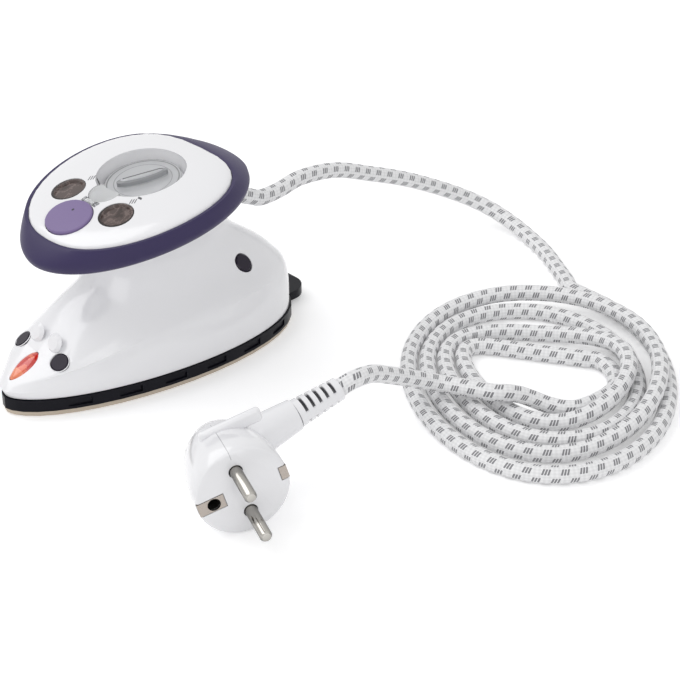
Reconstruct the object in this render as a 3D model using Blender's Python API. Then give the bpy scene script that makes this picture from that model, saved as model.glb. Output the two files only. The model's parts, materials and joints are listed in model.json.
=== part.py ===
"""Mini steam press iron with its coiled textile cord and plug.

Metres, +Z up. The nose points to -Y, the heel to +Y, and X = 0 is the plane of symmetry.
The iron stands on its soleplate at Z = 0.
"""

import math

import bmesh
import bpy
from mathutils import Matrix, Vector
from mathutils.bvhtree import BVHTree

# General
GAP = 0.0003
FIT = 0.0004
OVERRUN = 0.02
RING_POINTS = 40
ROUND_SIDES = 28
SMALL_SIDES = 16
TUBE_SIDES = 12
TURN_SHARE = 0.37
UP = Vector((0, 0, 1))
ALONG = Vector((0, 1, 0))
ACROSS = Vector((1, 0, 0))

# Sole: an egg seen from above, with its pointed end at the nose
SOLE_FRONT = -0.0779
SOLE_REAR = 0.0657
SOLE_HALF_WIDTH = 0.0340
SOLE_SHARES = (0.59, 0.36)
SOLE_THICKNESS = 0.0022
SOLE_EDGE_HEIGHT = 0.0006
SOLE_EDGE_INSET = 0.0007
VENT_RADIUS = 0.0012
VENT_SHARES = ((0.08, 0.0), (0.25, 0.7), (0.50, 0.7), (0.78, 0.7))

# Casting with its steam chamber, and the heating element sunk in it
CASTING_INSET = 0.0055
CASTING_HEIGHT = 0.0072
CHAMBER_FRONT = -0.0500
CHAMBER_REAR = -0.0040
CHAMBER_HALF_WIDTH = 0.0125
CHAMBER_SHARES = (0.48, 0.42)
CHAMBER_FLOOR = 0.0028
CHAMBER_LEDGE = 0.0020
COVER_PLATE = 0.0014
ELEMENT_RADIUS = 0.0026
ELEMENT_SINK = 0.0008
ELEMENT_RISE = 0.0050
ELEMENT_MIDDLE = 0.0100
ELEMENT_REACH = 0.0680
ELEMENT_HALF_WIDTH = 0.0246
ELEMENT_TURN_DEG = 105
ELEMENT_POINTS = 28

# Heat shield on three legs
SHIELD_FRONT = -0.0440
SHIELD_REAR = 0.0520
SHIELD_HALF_WIDTH = 0.0225
SHIELD_SHARES = (0.42, 0.40)
SHIELD_TOP = 0.0205
SHIELD_THICKNESS = 0.0012
LEG_RADIUS = 0.0021
FRONT_LEG_SIDE = 0.0175
FRONT_LEG_PLACE = -0.0160
REAR_LEG_PLACE = 0.0440
SCREW_RADIUS = 0.0013
SCREW_HEAD_RADIUS = 0.0026
SCREW_HEAD_HEIGHT = 0.0016
SCREW_DEPTH = 0.0040

# Thermostat, fuse, terminal block
THERMOSTAT_RADIUS = 0.0080
THERMOSTAT_HEIGHT = 0.0058
THERMOSTAT_BOSS_RADIUS = 0.0035
THERMOSTAT_BOSS_HEIGHT = 0.0012
FUSE_RADIUS = 0.0022
FUSE_LENGTH = 0.0150
FUSE_SIDE = 0.0065
FUSE_FRONT = 0.0190
BLOCK_LENGTH = 0.0180
BLOCK_WIDTH = 0.0085
BLOCK_HEIGHT = 0.0080
BLOCK_PLACE = 0.0350
BLOCK_SCREW_RADIUS = 0.0014
BLOCK_SCREW_DEPTH = 0.0020
BLOCK_POLES = 3

# Skirt round the casting, with the heel tab
SKIRT_PROUD = 0.0006
SKIRT_WALL = 0.0036
SKIRT_BOTTOM = 0.0026
SKIRT_TOP = 0.0078
HEEL_REAR = 0.0785
HEEL_FRONT = 0.0560
HEEL_HALF_WIDTH = 0.0118
HEEL_CORNER = 0.0088
HEEL_THICKNESS = 0.0042
NOTCH_SHARES = (0.16, 0.30, 0.44, 0.58, 0.72, 0.85)
NOTCH_LENGTH = 0.0100
NOTCH_DEPTH = 0.0009
NOTCH_BOTTOM = 0.0038
NOTCH_TOP = 0.0068

# Body shell: rings from the foot up to the neck, as shares of length, half width and height
BODY_HEIGHT = 0.0620
BODY_WALL = 0.0020
BODY_RING_SHARES = (
    (0.001, 0.999, 0.997, 0.59, 0.36, 0.131, 0.131, 0.000),
    (-0.009, 1.003, 1.000, 0.57, 0.36, 0.185, 0.290, 0.016),
    (0.009, 1.001, 0.924, 0.55, 0.36, 0.226, 0.419, 0.105),
    (0.038, 0.992, 0.847, 0.42, 0.37, 0.258, 0.468, 0.097),
    (0.118, 0.978, 0.765, 0.30, 0.38, 0.352, 0.500, 0.081),
    (0.173, 0.959, 0.688, 0.30, 0.40, 0.452, 0.556, 0.040),
    (0.222, 0.925, 0.606, 0.30, 0.42, 0.548, 0.621, 0.016),
    (0.283, 0.878, 0.524, 0.32, 0.43, 0.637, 0.702, 0.008),
    (0.321, 0.828, 0.468, 0.36, 0.44, 0.742, 0.782, 0.000),
    (0.334, 0.800, 0.441, 0.40, 0.44, 0.855, 0.879, 0.000),
    (0.331, 0.796, 0.450, 0.42, 0.44, 0.919, 1.000, 0.000),
)
EYE_SIDE = 0.0130
EYE_PLACE = -0.0589
EYE_RADIUS = 0.0039
PLUG_THICKNESS = 0.0022
PLUG_DOME = 0.0005
REAR_PLUG_SIDE = 0.0180
REAR_PLUG_PLACE = 0.0350
REAR_PLUG_RADIUS = 0.0042
LENS_PLACE = -0.0678
LENS_HALF_LENGTH = 0.0078
LENS_HALF_WIDTH = 0.0027
LENS_DEPTH = 0.0024
LENS_DOME = 0.0011
LAMP_RADIUS = 0.0016
LAMP_LENGTH = 0.0090
EAR_SIDE = 0.0062
EAR_PLACE = -0.0560
EAR_RADIUS = 0.0044
EAR_THICKNESS = 0.0030
EAR_RISE = 0.0018
EAR_LEAN_DEG = 25

# Handle: soft rim round a white cover and a white pan
RIM_FRONT = -0.0592
RIM_REAR = 0.0415
RIM_HALF_WIDTH = 0.0424
RIM_SHARES = (0.54, 0.44)
EDGE_FRONT = -0.0530
EDGE_REAR = 0.0306
EDGE_HALF_WIDTH = 0.0414
EDGE_SHARES = (0.43, 0.34)
RIM_HEIGHT = 0.0751
RIM_TILT_DEG = 9.1
RIM_SAG = 0.0022
RIM_SAG_SPAN = 0.050
RIM_DEPTH = 0.0066
RIM_UNDER_INSET = 0.0070
RIM_UNDER_DROP = 0.0052
RIM_LIP = 0.0014
RIM_WALL = 0.0020
PAN_WALL = 0.0020
PAN_DROP = 0.0075
PAN_SHELF_INSET = 0.0130
NECK_TOP_FRONT = -0.0315
NECK_TOP_REAR = 0.0370
NECK_TOP_HALF_WIDTH = 0.0170
NECK_TOP_SHARES = (0.44, 0.44)
COVER_WALL = 0.0020
COVER_LIP = 0.0018
DOME_HEIGHT = 0.0046
DOME_CENTRE = -0.0080
DOME_SHARES = (1.0, 0.985, 0.95, 0.88, 0.78, 0.65, 0.50, 0.32, 0.15)

# Dial in its dish
DIAL_PLACE = -0.0025
DIAL_TOP = 0.0811
DIAL_TILT_DEG = 9.5
DIAL_RADIUS = 0.0163
DIAL_THICKNESS = 0.0016
DISH_RADIUS = 0.0190
DISH_FLOOR_RADIUS = 0.0172
DISH_DEPTH = 0.0028
DISH_RISE = 0.0020
DISH_WALL = 0.0012
SCALE_THICKNESS = 0.0006
SCALE_BORE = 0.0060
FIN_HALF_LENGTH = 0.0110
FIN_HALF_WIDTH = 0.0030
FIN_HEIGHT = 0.0032
FIN_TURN_DEG = 24
SHAFT_RADIUS = 0.0020

# Water filler with its lid
LID_PLACE = -0.0219
LID_TILT_DEG = 13
LID_RADIUS = 0.0067
LID_THICKNESS = 0.0012
LID_SINK = 0.0003
LID_RECESS = 0.0019
LID_CLEARANCE = 0.0003
LID_BOSS = 0.0070
LID_BOSS_WALL = 0.0014
KNUCKLE_RADIUS = 0.0013
KNUCKLE_LENGTH = 0.0052
LID_PIN_RADIUS = 0.0006
LID_PIN_LENGTH = 0.0090
FILLER_PLACE = -0.0263
FILLER_RADIUS = 0.0031
FILLER_WALL = 0.0010

# Water windows
WINDOW_SIDE = 0.0162
WINDOW_PLACE = -0.0285
WINDOW_RADIUS = 0.0072
WINDOW_FRAME = 0.0009
WINDOW_SINK = 0.0011
SEAT_SPREAD = 0.0040

# Steam button, spring and pump
BUTTON_PLACE = -0.0401
BUTTON_TILT_DEG = 19
BUTTON_HALF_WIDTH = 0.0106
BUTTON_HALF_LENGTH = 0.0098
BUTTON_RISE = 0.0012
BUTTON_DEPTH = 0.0038
BUTTON_SKIN = 0.0014
BUTTON_TRAVEL = 0.0025
PUMP_RADIUS = 0.0046
PUMP_BORE = 0.0034
PUMP_TOP = 0.0074
PUMP_BOTTOM = 0.0122
PUMP_FLOOR = 0.0006
PUMP_FLANGE_RADIUS = 0.0068
PUMP_FLANGE = 0.0009
PISTON_ROD = 0.0014
PISTON_HEAD = 0.0008
SPRING_RADIUS = 0.0040
SPRING_WIRE = 0.00035
SPRING_TURNS = 2.2
SPRING_POINTS_PER_TURN = 12

# Water tank and feed pipe
TANK_FRONT = -0.0300
TANK_REAR = -0.0125
TANK_HALF_WIDTH = 0.0235
TANK_SHARES = (0.26, 0.26)
TANK_WALL = 0.0012
TANK_DROP = 0.0036
TANK_RISE = 0.0016
PIPE_RADIUS = 0.0018
PIPE_SIDE = 0.0060
PIPE_PLACE = -0.0180

# Cord gland at the back of the neck
GLAND_PLACE = 0.0388
GLAND_HEIGHT = 0.0622
GLAND_TILT_DEG = 25
GLAND_RADIUS = 0.0049
GLAND_END_RADIUS = 0.0042
GLAND_LENGTH = 0.0095
GLAND_TAIL = 0.0065
GLAND_FLANGE = 0.0013
LEAD_RADIUS = 0.0016
LEAD_ROUTE = ((0, 0.0285, 0.0640), (0, 0.0290, 0.0520), (0, 0.0325, 0.0390))

# Cord: diameter, route points chosen by hand, and the coil's reach on each side of its middle
CORD_DIAMETER = 0.0072
CORD_STEP = 0.0140
IRON_ROUTE = (
    (0.0000, 0.0600, 0.0524),
    (-0.0015, 0.0720, 0.0515),
    (-0.0030, 0.0865, 0.0525),
    (-0.0040, 0.1088, 0.0488),
    (-0.0030, 0.1300, 0.0406),
    (0.0000, 0.1503, 0.0323),
    (0.0040, 0.1702, 0.0224),
    (0.0110, 0.1840, 0.0147),
    (0.0210, 0.1905, 0.0098),
    (0.0330, 0.1925, 0.0060),
    (0.0450, 0.1910, 0.00385),
    (0.0608, 0.1848, 0.00375),
    (0.0765, 0.1762, 0.00375),
    (0.0865, 0.1705, 0.00375),
)
PLUG_ROUTE = (
    (0.1523, 0.1246, 0.00375),
    (0.1567, 0.1206, 0.00375),
    (0.1604, 0.1162, 0.00375),
    (0.1621, 0.1100, 0.00375),
    (0.1623, 0.1031, 0.00375),
    (0.1617, 0.0970, 0.00375),
    (0.1600, 0.0914, 0.00375),
    (0.1564, 0.0872, 0.0040),
    (0.1516, 0.0838, 0.0049),
    (0.1474, 0.0802, 0.0070),
    (0.1439, 0.0752, 0.0099),
    (0.1412, 0.0692, 0.0122),
    (0.1378, 0.0650, 0.0125),
    (0.1322, 0.0621, 0.0125),
    (0.1248, 0.0581, 0.0125),
    (0.1189, 0.0539, 0.0130),
    (0.1158, 0.0468, 0.0160),
    (0.1146, 0.0379, 0.0205),
    (0.1147, 0.0286, 0.0255),
    (0.1154, 0.0190, 0.0305),
)
COIL_CENTRE = (0.1290, 0.1020)
COIL_TURN_DEG = 47.24
COIL_SHIFT = -0.0020
COIL_LIFT = 0.00375
COIL_LAYER = 0.00775
COIL_SIDE_REACHES = (0.0546, 0.0540, 0.0511, 0.0459, 0.0417, 0.0381, 0.0379, 0.0303, 0.0325)
COIL_END_REACHES = (0.0771, 0.0755, 0.0627, 0.0613, 0.0526, 0.0513, 0.0335, 0.0383, 0.0169, 0.0397)
COIL_SKEW_SHARES = (-0.01, 0.03, -0.05, 0.10, 0.07, 0.21, 0.04, 0.38, 0.15)
COIL_LIFT_SHARES = (0, 0, 0, 0, 0.5, 0.9, 0, 0, 0, 0, 0, 0, 0, 1, 0, 0, 0, 0, 0)
COIL_START_SHARE = 0.10
COIL_END_SHARE = 4.07
COIL_POINTS_PER_LOOP = 24
COIL_GAP_LIMIT = 0.0004

# Plug
FACE_CENTRE = (0.12907, -0.05935, 0.01866)
FACE_NORMAL = (0.9243, -0.3804, 0.0294)
PIN_LINE = (-0.1304, -0.2426, 0.9613)
FACE_RADIUS = 0.0183
PLUG_PROFILE_SHARES = ((1.0, 0.0), (1.0, 0.26), (0.93, 0.55), (0.80, 0.82), (0.62, 1.0))
PLUG_BACK = 0.0340
FACE_BEVEL = 0.0008
PIN_SPREAD = 0.0095
PIN_RADIUS = 0.0024
PIN_LENGTH = 0.0190
PIN_ROOT = 0.0060
PIN_TIP = 0.0014
EARTH_HOLE_RADIUS = 0.0026
EARTH_HOLE_DEPTH = 0.0100
EARTH_HOLE_PLACE = 0.0118
EARTH_WIDTH = 0.0056
EARTH_THICKNESS = 0.0010
EARTH_START = 0.0075
CLIP_START = 0.0150
NECK_BACK = 0.0250
NECK_START = 0.0060
NECK_END = 0.0325
NECK_LEAN_DEG = 10
NECK_HALF_WIDTH = 0.0085
NECK_HALF_DEPTH = 0.0070
NECK_END_SHARE = 0.80
RELIEF_LENGTH = 0.0200
RELIEF_RADIUS = 0.0058
RELIEF_END_RADIUS = 0.0047
RELIEF_SLOTS = 5
RELIEF_SLOT_SHARE = 0.42
RELIEF_CORE_SHARE = 0.30


def clear_scene():
    for old in list(bpy.data.objects):
        bpy.data.objects.remove(old, do_unlink=True)


def material(name, colour, roughness, metallic=0.0):
    made = bpy.data.materials.new(name)
    made.use_nodes = True
    shader = made.node_tree.nodes["Principled BSDF"]
    shader.inputs["Base Color"].default_value = (*colour, 1.0)
    shader.inputs["Roughness"].default_value = roughness
    shader.inputs["Metallic"].default_value = metallic
    made.diffuse_color = (*colour, 1.0)
    return made


class Egg:
    """A symmetric outline from front to rear; each end's share sets how blunt it is."""

    def __init__(self, front, rear, half_width, shares):
        self.front = front
        self.rear = rear
        self.half_width = half_width
        self.shares = shares

    def inset(self, depth):
        return Egg(self.front + depth, self.rear - depth, self.half_width - depth, self.shares)

    def scaled(self, share, centre):
        front = centre + (self.front - centre) * share
        rear = centre + (self.rear - centre) * share
        return Egg(front, rear, self.half_width * share, self.shares)

    def blend(self, other, share):
        def mix(low, high):
            return low + (high - low) * share

        shares = tuple(mix(a, b) for a, b in zip(self.shares, other.shares))
        return Egg(
            mix(self.front, other.front),
            mix(self.rear, other.rear),
            mix(self.half_width, other.half_width),
            shares,
        )

    def at(self, along):
        nose, tail = self.shares
        widest = nose / (nose + tail)
        top = widest**nose * (1 - widest) ** tail
        width = self.half_width * along**nose * (1 - along) ** tail / top
        return width, self.front + (self.rear - self.front) * along

    def ring(self, height, count=RING_POINTS):
        """Points right round the outline; height is a function of y."""
        points = []
        for index in range(count):
            turn = 2 * math.pi * index / count
            width, y = self.at((1 - math.cos(turn)) / 2)
            side = 0 if index % (count // 2) == 0 else math.copysign(1, math.sin(turn))
            points.append(Vector((side * width, y, height(y))))
        return points


def level(z):
    return lambda y: z


def skin(rows, closed=False, capped=False):
    """Bridges rows of points; a row of one point closes its neighbour as a fan."""
    bm = bmesh.new()
    made = [[bm.verts.new(point) for point in row] for row in rows]
    pairs = list(zip(made, made[1:]))
    if closed:
        pairs.append((made[-1], made[0]))
    for low, high in pairs:
        if len(low) == 1 and len(high) == 1:
            continue
        count = max(len(low), len(high))
        for index in range(count):
            after = (index + 1) % count
            corners = [low[index % len(low)], low[after % len(low)]]
            corners += [high[after % len(high)], high[index % len(high)]]
            unique = list(dict.fromkeys(corners))
            bm.faces.new(unique)
    for end in (made[0], made[-1]) if capped else ():
        if len(end) > 1:
            bm.faces.new(end)
    bmesh.ops.recalc_face_normals(bm, faces=bm.faces)
    return bm


def block(rows):
    """A solid through rows of points, closed at each end with a flat face."""
    return skin(rows, capped=True)


def fanned_block(rows):
    """A solid like a block, but with ends that needn't be flat."""
    middles = [sum(row, Vector()) / len(row) for row in (rows[0], rows[-1])]
    return skin([[middles[0]], *rows, [middles[1]]])


def side_axes(axis, long_axis):
    """Two directions square to the axis; the second lies nearest to long_axis."""
    long_side = (long_axis - axis * long_axis.dot(axis)).normalized()
    return long_side.cross(axis), long_side


def turned_rows(base, axis, profile, sides, long_axis=ALONG, stretch=1.0):
    across, along = side_axes(axis, long_axis)
    rows = []
    for radius, height in profile:
        centre = base + axis * height
        if radius == 0:
            rows.append([centre])
            continue
        row = []
        for index in range(sides):
            turn = 2 * math.pi * (index + TURN_SHARE) / sides
            sideways = across * math.cos(turn) + along * (math.sin(turn) * stretch)
            row.append(centre + sideways * radius)
        rows.append(row)
    return rows


def turned(base, axis, profile, sides=ROUND_SIDES, long_axis=ALONG, stretch=1.0):
    """A solid of revolution, or an oval one; its profile is (radius, height) from foot to top."""
    return block(turned_rows(base, axis, profile, sides, long_axis, stretch))


def tube_wall(base, axis, profile, sides=ROUND_SIDES, long_axis=ALONG, stretch=1.0):
    """A closed ring of revolution, such as a tube: the profile goes round its section."""
    return skin(turned_rows(base, axis, profile, sides, long_axis, stretch), closed=True)


def rod(start, end, radius, sides=SMALL_SIDES):
    axis = end - start
    length = axis.length
    hint = ALONG if abs(axis.normalized().dot(ALONG)) < abs(axis.normalized().dot(UP)) else UP
    return turned(start, axis.normalized(), ((radius, 0), (radius, length)), sides, hint)


def box(low, high):
    bottom = [Vector((x, y, low[2])) for x, y in corners_of(low, high)]
    top = [Vector((x, y, high[2])) for x, y in corners_of(low, high)]
    return block([bottom, top])


def corners_of(low, high):
    return ((low[0], low[1]), (high[0], low[1]), (high[0], high[1]), (low[0], high[1]))


def placed_box(centre, axes, halves):
    """A box with its middle, three directions and half sizes."""
    rows = []
    for upward in (-1, 1):
        row = []
        for first, second in ((-1, -1), (1, -1), (1, 1), (-1, 1)):
            sideways = axes[0] * (halves[0] * first) + axes[1] * (halves[1] * second)
            row.append(centre + sideways + axes[2] * (halves[2] * upward))
        rows.append(row)
    return block(rows)


def sweep(points, radius, sides=SMALL_SIDES):
    """A round tube through the points, without a twist."""
    rows = []
    side = None
    for index, point in enumerate(points):
        before = points[max(index - 1, 0)]
        after = points[min(index + 1, len(points) - 1)]
        axis = (after - before).normalized()
        hint = side if side is not None else (UP if abs(axis.dot(UP)) < math.cos(math.pi / 4) else ALONG)
        side = (hint - axis * hint.dot(axis)).normalized()
        other = axis.cross(side)
        row = []
        for step in range(sides):
            turn = 2 * math.pi * step / sides
            row.append(point + (side * math.cos(turn) + other * math.sin(turn)) * radius)
        rows.append(row)
    return block(rows)


def joined(*pieces):
    """One mesh of several, for a cutter whose bodies stand apart."""
    result = bmesh.new()
    for piece in pieces:
        mesh = bpy.data.meshes.new("piece")
        piece.to_mesh(mesh)
        piece.free()
        result.from_mesh(mesh)
        bpy.data.meshes.remove(mesh)
    return result


def place(name, bm, look, origin=None):
    mesh = bpy.data.meshes.new(name)
    bmesh.ops.recalc_face_normals(bm, faces=bm.faces)
    bm.to_mesh(mesh)
    bm.free()
    made = bpy.data.objects.new(name, mesh)
    if look is not None:
        mesh.materials.append(look)
    if origin is not None:
        mesh.transform(Matrix.Translation(-origin))
        made.location = origin
    bpy.context.scene.collection.objects.link(made)
    return made


def combine(target, bm, operation, label):
    """Adds a Boolean with a hidden helper to the target."""
    helper = place(f"helper_{target.name}_{label}", bm, None)
    helper.hide_render = True
    helper.display_type = "WIRE"
    modifier = target.modifiers.new(label, "BOOLEAN")
    modifier.operation = operation
    modifier.solver = "EXACT"
    modifier.object = helper
    return modifier


def cut(target, bm, label):
    combine(target, bm, "DIFFERENCE", label)


def unite(target, bm, label):
    combine(target, bm, "UNION", label)


def tilted(degrees):
    """A direction that leans from straight up towards the nose."""
    angle = math.radians(degrees)
    return Vector((0, -math.sin(angle), math.cos(angle)))


def seat_on(tree, x, y):
    """The point above (x, y) on a surface, and the surface's mean direction there."""
    hits = []
    for right, rear in ((0, 0), (1, 0), (0, 1), (-1, 0), (0, -1)):
        start = Vector((x + right * SEAT_SPREAD, y + rear * SEAT_SPREAD, RIM_HEIGHT + BODY_HEIGHT))
        hits.append(tree.ray_cast(start, -UP)[0])
    normal = (hits[1] - hits[3]).cross(hits[2] - hits[4]).normalized()
    if x == 0:
        normal = Vector((0, normal.y, normal.z)).normalized()
    return hits[0], normal


# Shapes that several pieces share
def sole_egg():
    return Egg(SOLE_FRONT, SOLE_REAR, SOLE_HALF_WIDTH, SOLE_SHARES)


def rim_egg():
    return Egg(RIM_FRONT, RIM_REAR, RIM_HALF_WIDTH, RIM_SHARES)


def edge_egg():
    return Egg(EDGE_FRONT, EDGE_REAR, EDGE_HALF_WIDTH, EDGE_SHARES)


def neck_top_egg():
    return Egg(NECK_TOP_FRONT, NECK_TOP_REAR, NECK_TOP_HALF_WIDTH, NECK_TOP_SHARES)


def rim_line(offset):
    """Height of the handle's widest line, raised by the offset, as a function of y."""
    slope = math.tan(math.radians(RIM_TILT_DEG))
    return lambda y: RIM_HEIGHT + slope * y - RIM_SAG * (y / RIM_SAG_SPAN) ** 2 + offset


def body_rings(inset=0.0):
    length = SOLE_REAR - SOLE_FRONT
    rings = []
    for front, rear, width, nose, tail, low, high, arch in BODY_RING_SHARES:
        outline = Egg(
            SOLE_FRONT + length * front,
            SOLE_FRONT + length * rear,
            SOLE_HALF_WIDTH * width,
            (nose, tail),
        )

        def height(y, outline=outline, low=low, high=high, arch=arch):
            along = (y - outline.front) / (outline.rear - outline.front)
            return BODY_HEIGHT * (low + (high - low) * along + 4 * arch * along * (1 - along))

        rings.append(lowered_ring(outline, height, inset))
    rings.append(neck_top_egg().inset(inset).ring(rim_line(-PAN_DROP - GAP)))
    return rings


def lowered_ring(outline, height, inset):
    """The ring drawn in by the inset, with each point at the height of its point outside."""
    outer = outline.ring(height)
    inner = outline.inset(inset).ring(level(0))
    return [Vector((point.x, point.y, source.z)) for point, source in zip(inner, outer)]


def tree_of(bm):
    return BVHTree.FromBMesh(bm)


# Pieces
def make_soleplate(look):
    edge = sole_egg().inset(SOLE_EDGE_INSET).ring(level(0))
    full_low = sole_egg().ring(level(SOLE_EDGE_HEIGHT))
    full_high = sole_egg().ring(level(SOLE_THICKNESS))
    plate = place("soleplate", block([edge, full_low, full_high]), look)
    cut(plate, vent_pins(VENT_RADIUS), "vents")
    return plate


def chamber_egg():
    return Egg(CHAMBER_FRONT, CHAMBER_REAR, CHAMBER_HALF_WIDTH, CHAMBER_SHARES)


def vent_pins(radius):
    """Upright pins at the steam vents, which all lie under the steam chamber."""
    chamber = chamber_egg()
    pins = []
    for along, sideways in VENT_SHARES:
        width, y = chamber.at(along)
        for side in (-1, 1) if sideways else (1,):
            foot = Vector((side * sideways * width, y, -OVERRUN))
            pins.append(rod(foot, foot + UP * 2 * OVERRUN, radius, SMALL_SIDES))
    return joined(*pins)


def casting_bottom():
    return SOLE_THICKNESS + GAP


def casting_top():
    return casting_bottom() + CASTING_HEIGHT


def leg_spots():
    return (
        Vector((-FRONT_LEG_SIDE, FRONT_LEG_PLACE, 0)),
        Vector((FRONT_LEG_SIDE, FRONT_LEG_PLACE, 0)),
        Vector((0, REAR_LEG_PLACE, 0)),
    )


def make_casting(look):
    outline = sole_egg().inset(CASTING_INSET)
    top = casting_top()
    body = block([outline.ring(level(casting_bottom())), outline.ring(level(top))])
    casting = place("heater_casting", body, look)
    pocket_floor = casting_bottom() + CHAMBER_FLOOR
    pocket = block([chamber_egg().ring(level(pocket_floor)), chamber_egg().ring(level(top + OVERRUN))])
    cut(casting, pocket, "chamber")
    ledge = chamber_egg().inset(-CHAMBER_LEDGE - FIT)
    shelf = top - COVER_PLATE - GAP
    cut(casting, block([ledge.ring(level(shelf)), ledge.ring(level(top + OVERRUN))]), "ledge")
    cut(casting, vent_pins(VENT_RADIUS), "vents")
    cut(casting, sweep(element_path(), ELEMENT_RADIUS + FIT, TUBE_SIDES), "groove")
    holes = [
        rod(spot + UP * (top - SCREW_DEPTH), spot + UP * (top + OVERRUN), SCREW_RADIUS + GAP)
        for spot in leg_spots()
    ]
    cut(casting, joined(*holes), "screw_holes")
    return casting


def element_path():
    """The bent heating tube: along both sides and round the nose, with its ends raised."""
    height = casting_top() - ELEMENT_SINK
    reach = math.radians(ELEMENT_TURN_DEG)
    points = []
    for index in range(ELEMENT_POINTS + 1):
        turn = -reach + 2 * reach * index / ELEMENT_POINTS
        x = ELEMENT_HALF_WIDTH * math.sin(turn)
        y = ELEMENT_MIDDLE - ELEMENT_REACH * math.cos(turn)
        points.append(Vector((x, y, height)))
    for end, beside in ((0, 1), (-1, -2)):
        onward = (points[end] - points[beside]).normalized() * ELEMENT_RADIUS
        bend = points[end] + onward + UP * ELEMENT_RADIUS / 2
        tip = bend + onward / 2 + UP * ELEMENT_RISE
        points = [tip, bend, *points] if end == 0 else [*points, bend, tip]
    return points


def make_element(look):
    return place("heating_element", sweep(element_path(), ELEMENT_RADIUS, TUBE_SIDES), look)


def make_chamber_cover(look):
    outline = chamber_egg().inset(-CHAMBER_LEDGE)
    low = casting_top() - COVER_PLATE
    plate = block([outline.ring(level(low)), outline.ring(level(casting_top()))])
    cover = place("steam_chamber_cover", plate, look)
    inlet = pipe_foot()
    cut(cover, rod(inlet - UP * OVERRUN, inlet + UP * OVERRUN, PIPE_RADIUS / 2), "inlet")
    return cover


def pipe_foot():
    return Vector((PIPE_SIDE, PIPE_PLACE, casting_top() + GAP))


def dial_axis():
    return tilted(DIAL_TILT_DEG)


def dial_centre():
    """The middle of the dial's top face."""
    return Vector((0, DIAL_PLACE, DIAL_TOP))


def on_dial_axis(height):
    """The point of the dial's axis at a height above the table."""
    axis = dial_axis()
    return dial_centre() + axis * ((height - DIAL_TOP) / axis.z)


def thermostat_top():
    return casting_top() + GAP + THERMOSTAT_HEIGHT


def make_thermostat(look):
    foot = on_dial_axis(casting_top() + GAP)
    profile = (
        (THERMOSTAT_RADIUS, 0),
        (THERMOSTAT_RADIUS, THERMOSTAT_HEIGHT),
        (THERMOSTAT_BOSS_RADIUS, THERMOSTAT_HEIGHT),
        (THERMOSTAT_BOSS_RADIUS, THERMOSTAT_HEIGHT + THERMOSTAT_BOSS_HEIGHT),
    )
    return place("thermostat", turned(foot, UP, profile), look)


def make_fuse(look):
    height = casting_top() + GAP + FUSE_RADIUS
    start = Vector((FUSE_SIDE, FUSE_FRONT, height))
    return place("thermal_fuse", rod(start, start + ALONG * FUSE_LENGTH, FUSE_RADIUS), look)


def make_shield(look):
    outline = Egg(SHIELD_FRONT, SHIELD_REAR, SHIELD_HALF_WIDTH, SHIELD_SHARES)
    low = SHIELD_TOP - SHIELD_THICKNESS
    plate = block([outline.ring(level(low)), outline.ring(level(SHIELD_TOP))])
    shield = place("heat_shield", plate, look)
    foot = casting_top() + GAP
    leg_top = low + SHIELD_THICKNESS / 2
    legs = [rod(spot + UP * foot, spot + UP * leg_top, LEG_RADIUS) for spot in leg_spots()]
    unite(shield, joined(*legs), "legs")
    bore = SCREW_RADIUS + GAP
    bores = [rod(spot - UP * OVERRUN, spot + UP * (SHIELD_TOP + OVERRUN), bore) for spot in leg_spots()]
    cut(shield, joined(*bores), "bores")
    spindle = on_dial_axis(SHIELD_TOP)
    cut(shield, rod(spindle - UP * OVERRUN, spindle + UP * OVERRUN, THERMOSTAT_BOSS_RADIUS), "spindle_hole")
    pipe = pipe_foot()
    cut(shield, rod(pipe, pipe + UP * OVERRUN, PIPE_RADIUS + GAP), "pipe_hole")
    return shield


def make_shield_screws(look):
    screws = []
    for name, spot in zip(("left", "right", "rear"), leg_spots()):
        foot = spot + UP * (casting_top() - SCREW_DEPTH + GAP)
        shank = SHIELD_TOP + GAP - foot.z
        profile = (
            (SCREW_RADIUS, 0),
            (SCREW_RADIUS, shank),
            (SCREW_HEAD_RADIUS, shank),
            (SCREW_HEAD_RADIUS, shank + SCREW_HEAD_HEIGHT),
        )
        screws.append(place(f"shield_screw_{name}", turned(foot, UP, profile, SMALL_SIDES), look))
    return screws


def block_foot():
    return SHIELD_TOP + GAP


def make_terminal_block(look):
    low = (-BLOCK_LENGTH / 2, BLOCK_PLACE - BLOCK_WIDTH / 2, block_foot())
    high = (BLOCK_LENGTH / 2, BLOCK_PLACE + BLOCK_WIDTH / 2, block_foot() + BLOCK_HEIGHT)
    piece = place("terminal_block", box(low, high), look)
    wells = []
    for pole in range(BLOCK_POLES):
        x = BLOCK_LENGTH * ((pole + 1) / (BLOCK_POLES + 1) - 1 / 2)
        floor = Vector((x, BLOCK_PLACE, high[2] - BLOCK_SCREW_DEPTH))
        wells.append(rod(floor, floor + UP * OVERRUN, BLOCK_SCREW_RADIUS, SMALL_SIDES))
    cut(piece, joined(*wells), "screw_wells")
    return piece


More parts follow.
